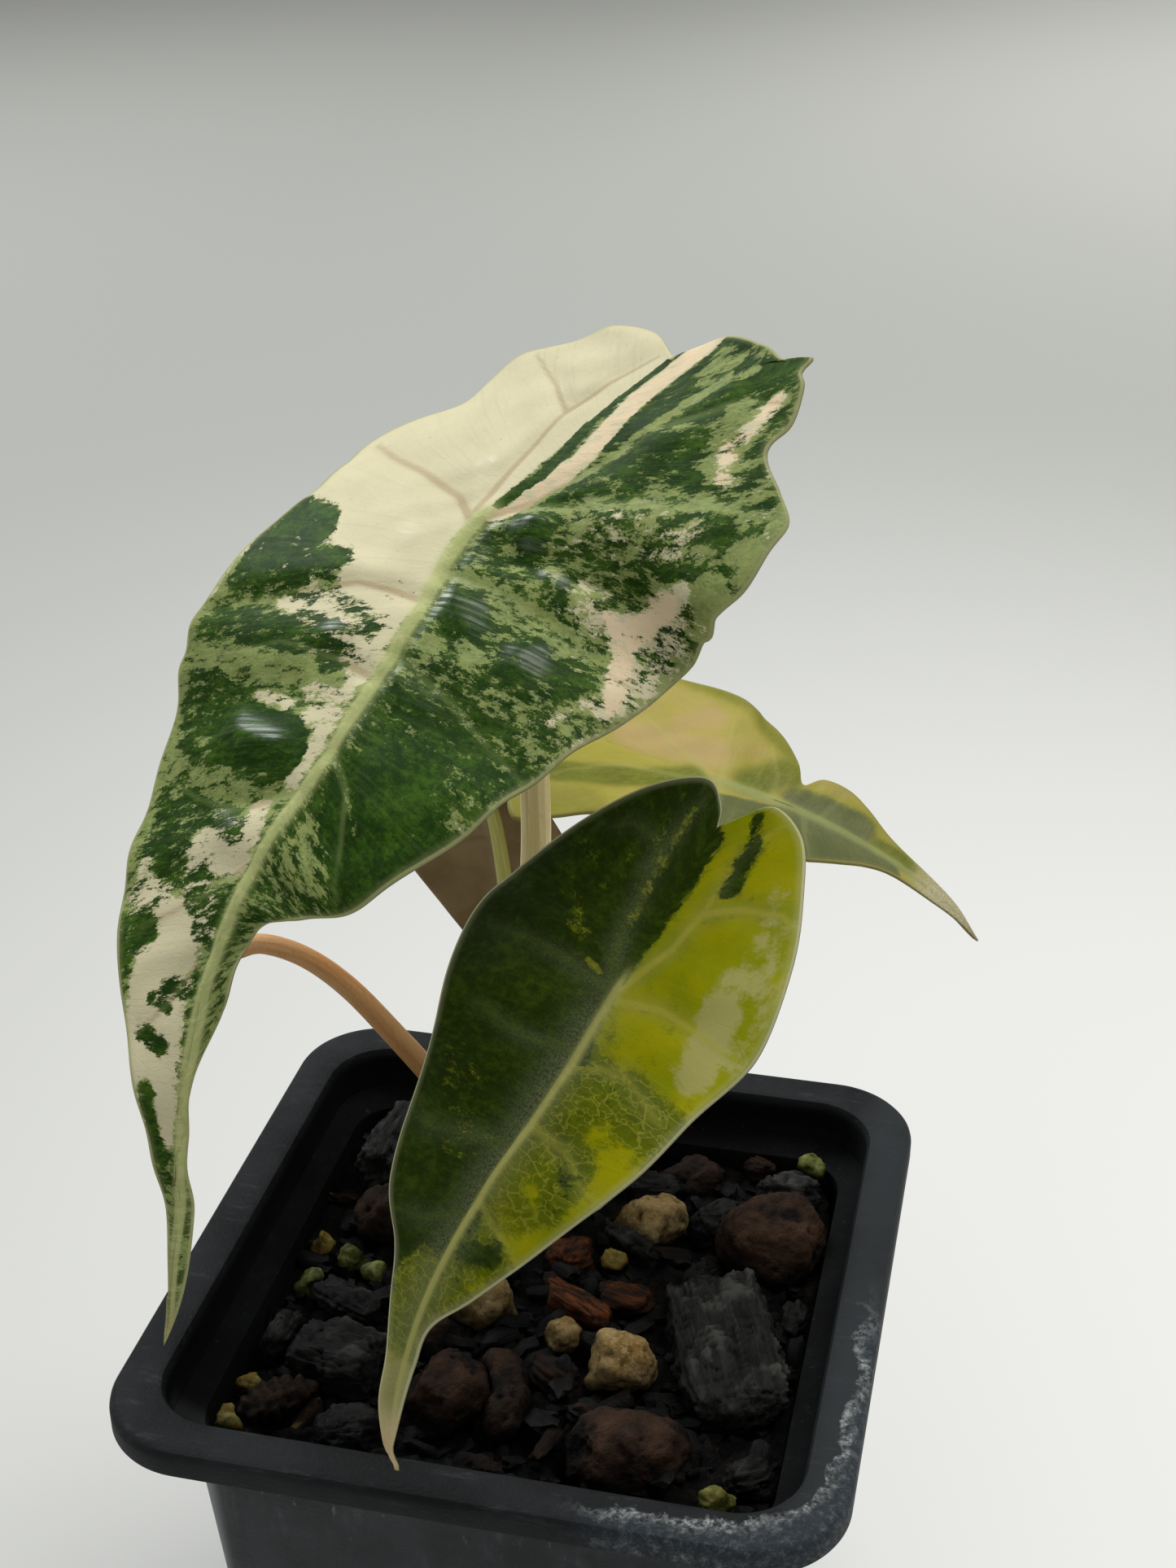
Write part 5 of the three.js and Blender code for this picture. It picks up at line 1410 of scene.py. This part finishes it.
# The left leaf: a small blade hidden behind the large leaf's tip, on a long arched
# brown-pink stalk.
left_leaf = LEAF_HABIT | {
    "rib": (
        (-44.6, 9.6, 35.6, 10, 10),
        (-46.7, 8.9, 33.4, 10, 10),
        (-48.8, 8.3, 29.6, 10, 10),
        (-51, 7.6, 22.5, 10, 10),
        (-52.4, 7, 13, 10, 10),
    ),
    "outline": (
        (-2.8, 0, -2.8, 0, -2.8),
        (-2.4, -1.6, -5, 1.6, -5),
        (-1.6, -3.8, -4.6, 3.4, -4.6),
        (-0.6, -5.2, -1.4, 4.2, -1.4),
        (3, -5.6, 4, 4.2, 4),
        (8, -4.6, 9, 3.2, 9),
        (14.5, -2.4, 15, 1.7, 15),
        (22, 0, 22, 0, 22),
    ),
    "first_vein": 3,
    "quilt": 0.4,
    "ripple": 0.08,
    "groove": 0.1,
    "across": 16,
    "dry": (19, 22),
    "grain": 0.4,
    "ragged": 2,
    "soft": 0.08,
    "vein_fade": 0.3,
    "vein_shown": 0.7,
    "veins": (
        ((0, 0), (-2, -1), (-4, -2)),
        ((0, 0), (2, -1), (3, -2)),
        ((0, 4), (-2, 6), (-4, 7)),
        ((0, 4), (2, 6), (3, 7)),
    ),
    "ground": (0.6, 0.9, 0.1),
    "strokes": ((((1, 2), (2, 8)), 1.2, 1, (0.2, 0.2, 0.3)),),
    "tones": large_leaf["tones"],
    "net": 0.25,
    "roughness": 0.4,
    "stalk": (
        (-13.2, 25.8, -11),
        (-15.2, 24.2, -3),
        (-19.4, 20.8, 8),
        (-24.4, 16.8, 18.8),
        (-29.4, 14, 27.4),
        (-34.2, 11.6, 33),
        (-39, 9.4, 35.8),
        (-42.6, 9.1, 34.6),
        (-45.2, 9, 33.2),
    ),
    "stalk_radii": (1.8, 1.1),
    "stalk_tones": ("da9a5d", "deb078", "b57546"),
}
leaf_blade("left_leaf", left_leaf)
leaf_stalk("left_leaf", left_leaf)

# The stand: a plain pale floor that greys with distance and towards the left, painted shade for
# the light falling off, soft light from over the left shoulder and behind, and the camera at the
# photograph's angle.
floor_mesh = bmesh.new()
bmesh.ops.create_circle(floor_mesh, cap_ends=True, segments=96, radius=6)
floor = piece_of(floor_mesh, "floor")
floor_finish, start = new_finish("pale studio floor")
spot = start.node("ShaderNodeTexCoord", {}, {}, "Object")
distance = spot.node("ShaderNodeVectorMath", {"operation": "LENGTH"}, {0: spot}, "Value")
# Painted shade: the floor greys away from the pot and darkens towards the left, as the light falls off.
ground = layered(
    distance.step(0.12, 0.62).blend("e9e9e6", "aeafaa"),
    (distance.step(0.6, 1.5), "e4e5dd"),
    (spot.part(0).step(0.25, -0.4) * 0.72, "969793"),
)
close_finish(start, {"Base Color": ground, "Roughness": 0.75 + 0.1 * spot.cloud(3.0)})
floor.data.materials.append(floor_finish)


def soft_light(name, place, aim, width, watts, tint):
    data = bpy.data.lights.new(name, "AREA")
    data.shape = "SQUARE"
    data.size = width
    data.energy = watts
    data.color = tint
    lamp = bpy.data.objects.new(name, data)
    lamp.location = place
    lamp.rotation_euler = (Vector(aim) - Vector(place)).to_track_quat("-Z", "Y").to_euler()
    bpy.context.scene.collection.objects.link(lamp)


soft_light("window", (-0.8, 0.7, 1.1), (0, 0, 0.1), 0.55, 12, (0.95, 0.98, 1.0))
soft_light("ceiling", (0.5, 0.5, 1.8), (0, 0.2, 0), 1.4, 26, (1.0, 0.99, 0.97))
soft_light("room", (-0.5, -1.1, 0.7), (0, 0, 0.1), 0.9, 2.0, (1.0, 0.98, 0.95))
world = bpy.data.worlds.new("studio")
world.use_nodes = True
world.node_tree.nodes["Background"].inputs["Color"].default_value = (0.92, 0.93, 0.92, 1)
world.node_tree.nodes["Background"].inputs["Strength"].default_value = 0.22
bpy.context.scene.world = world
bpy.context.scene.view_settings.view_transform = "Standard"

view_data = bpy.data.cameras.new("view")
view_data.lens = 50.44
view_data.sensor_width = 36
view_data.clip_start = 0.01
view = bpy.data.objects.new("view", view_data)
right, up, back = (0.9746, 0.2238, -0.0081), (-0.0981, 0.4591, 0.8829), (0.2013, -0.8597, 0.4694)
turned = Matrix((right, up, back)).transposed().to_4x4()
view.matrix_world = Matrix.Translation((0.05793, -0.21803, 0.27046)) @ turned
bpy.context.scene.collection.objects.link(view)
bpy.context.scene.camera = view
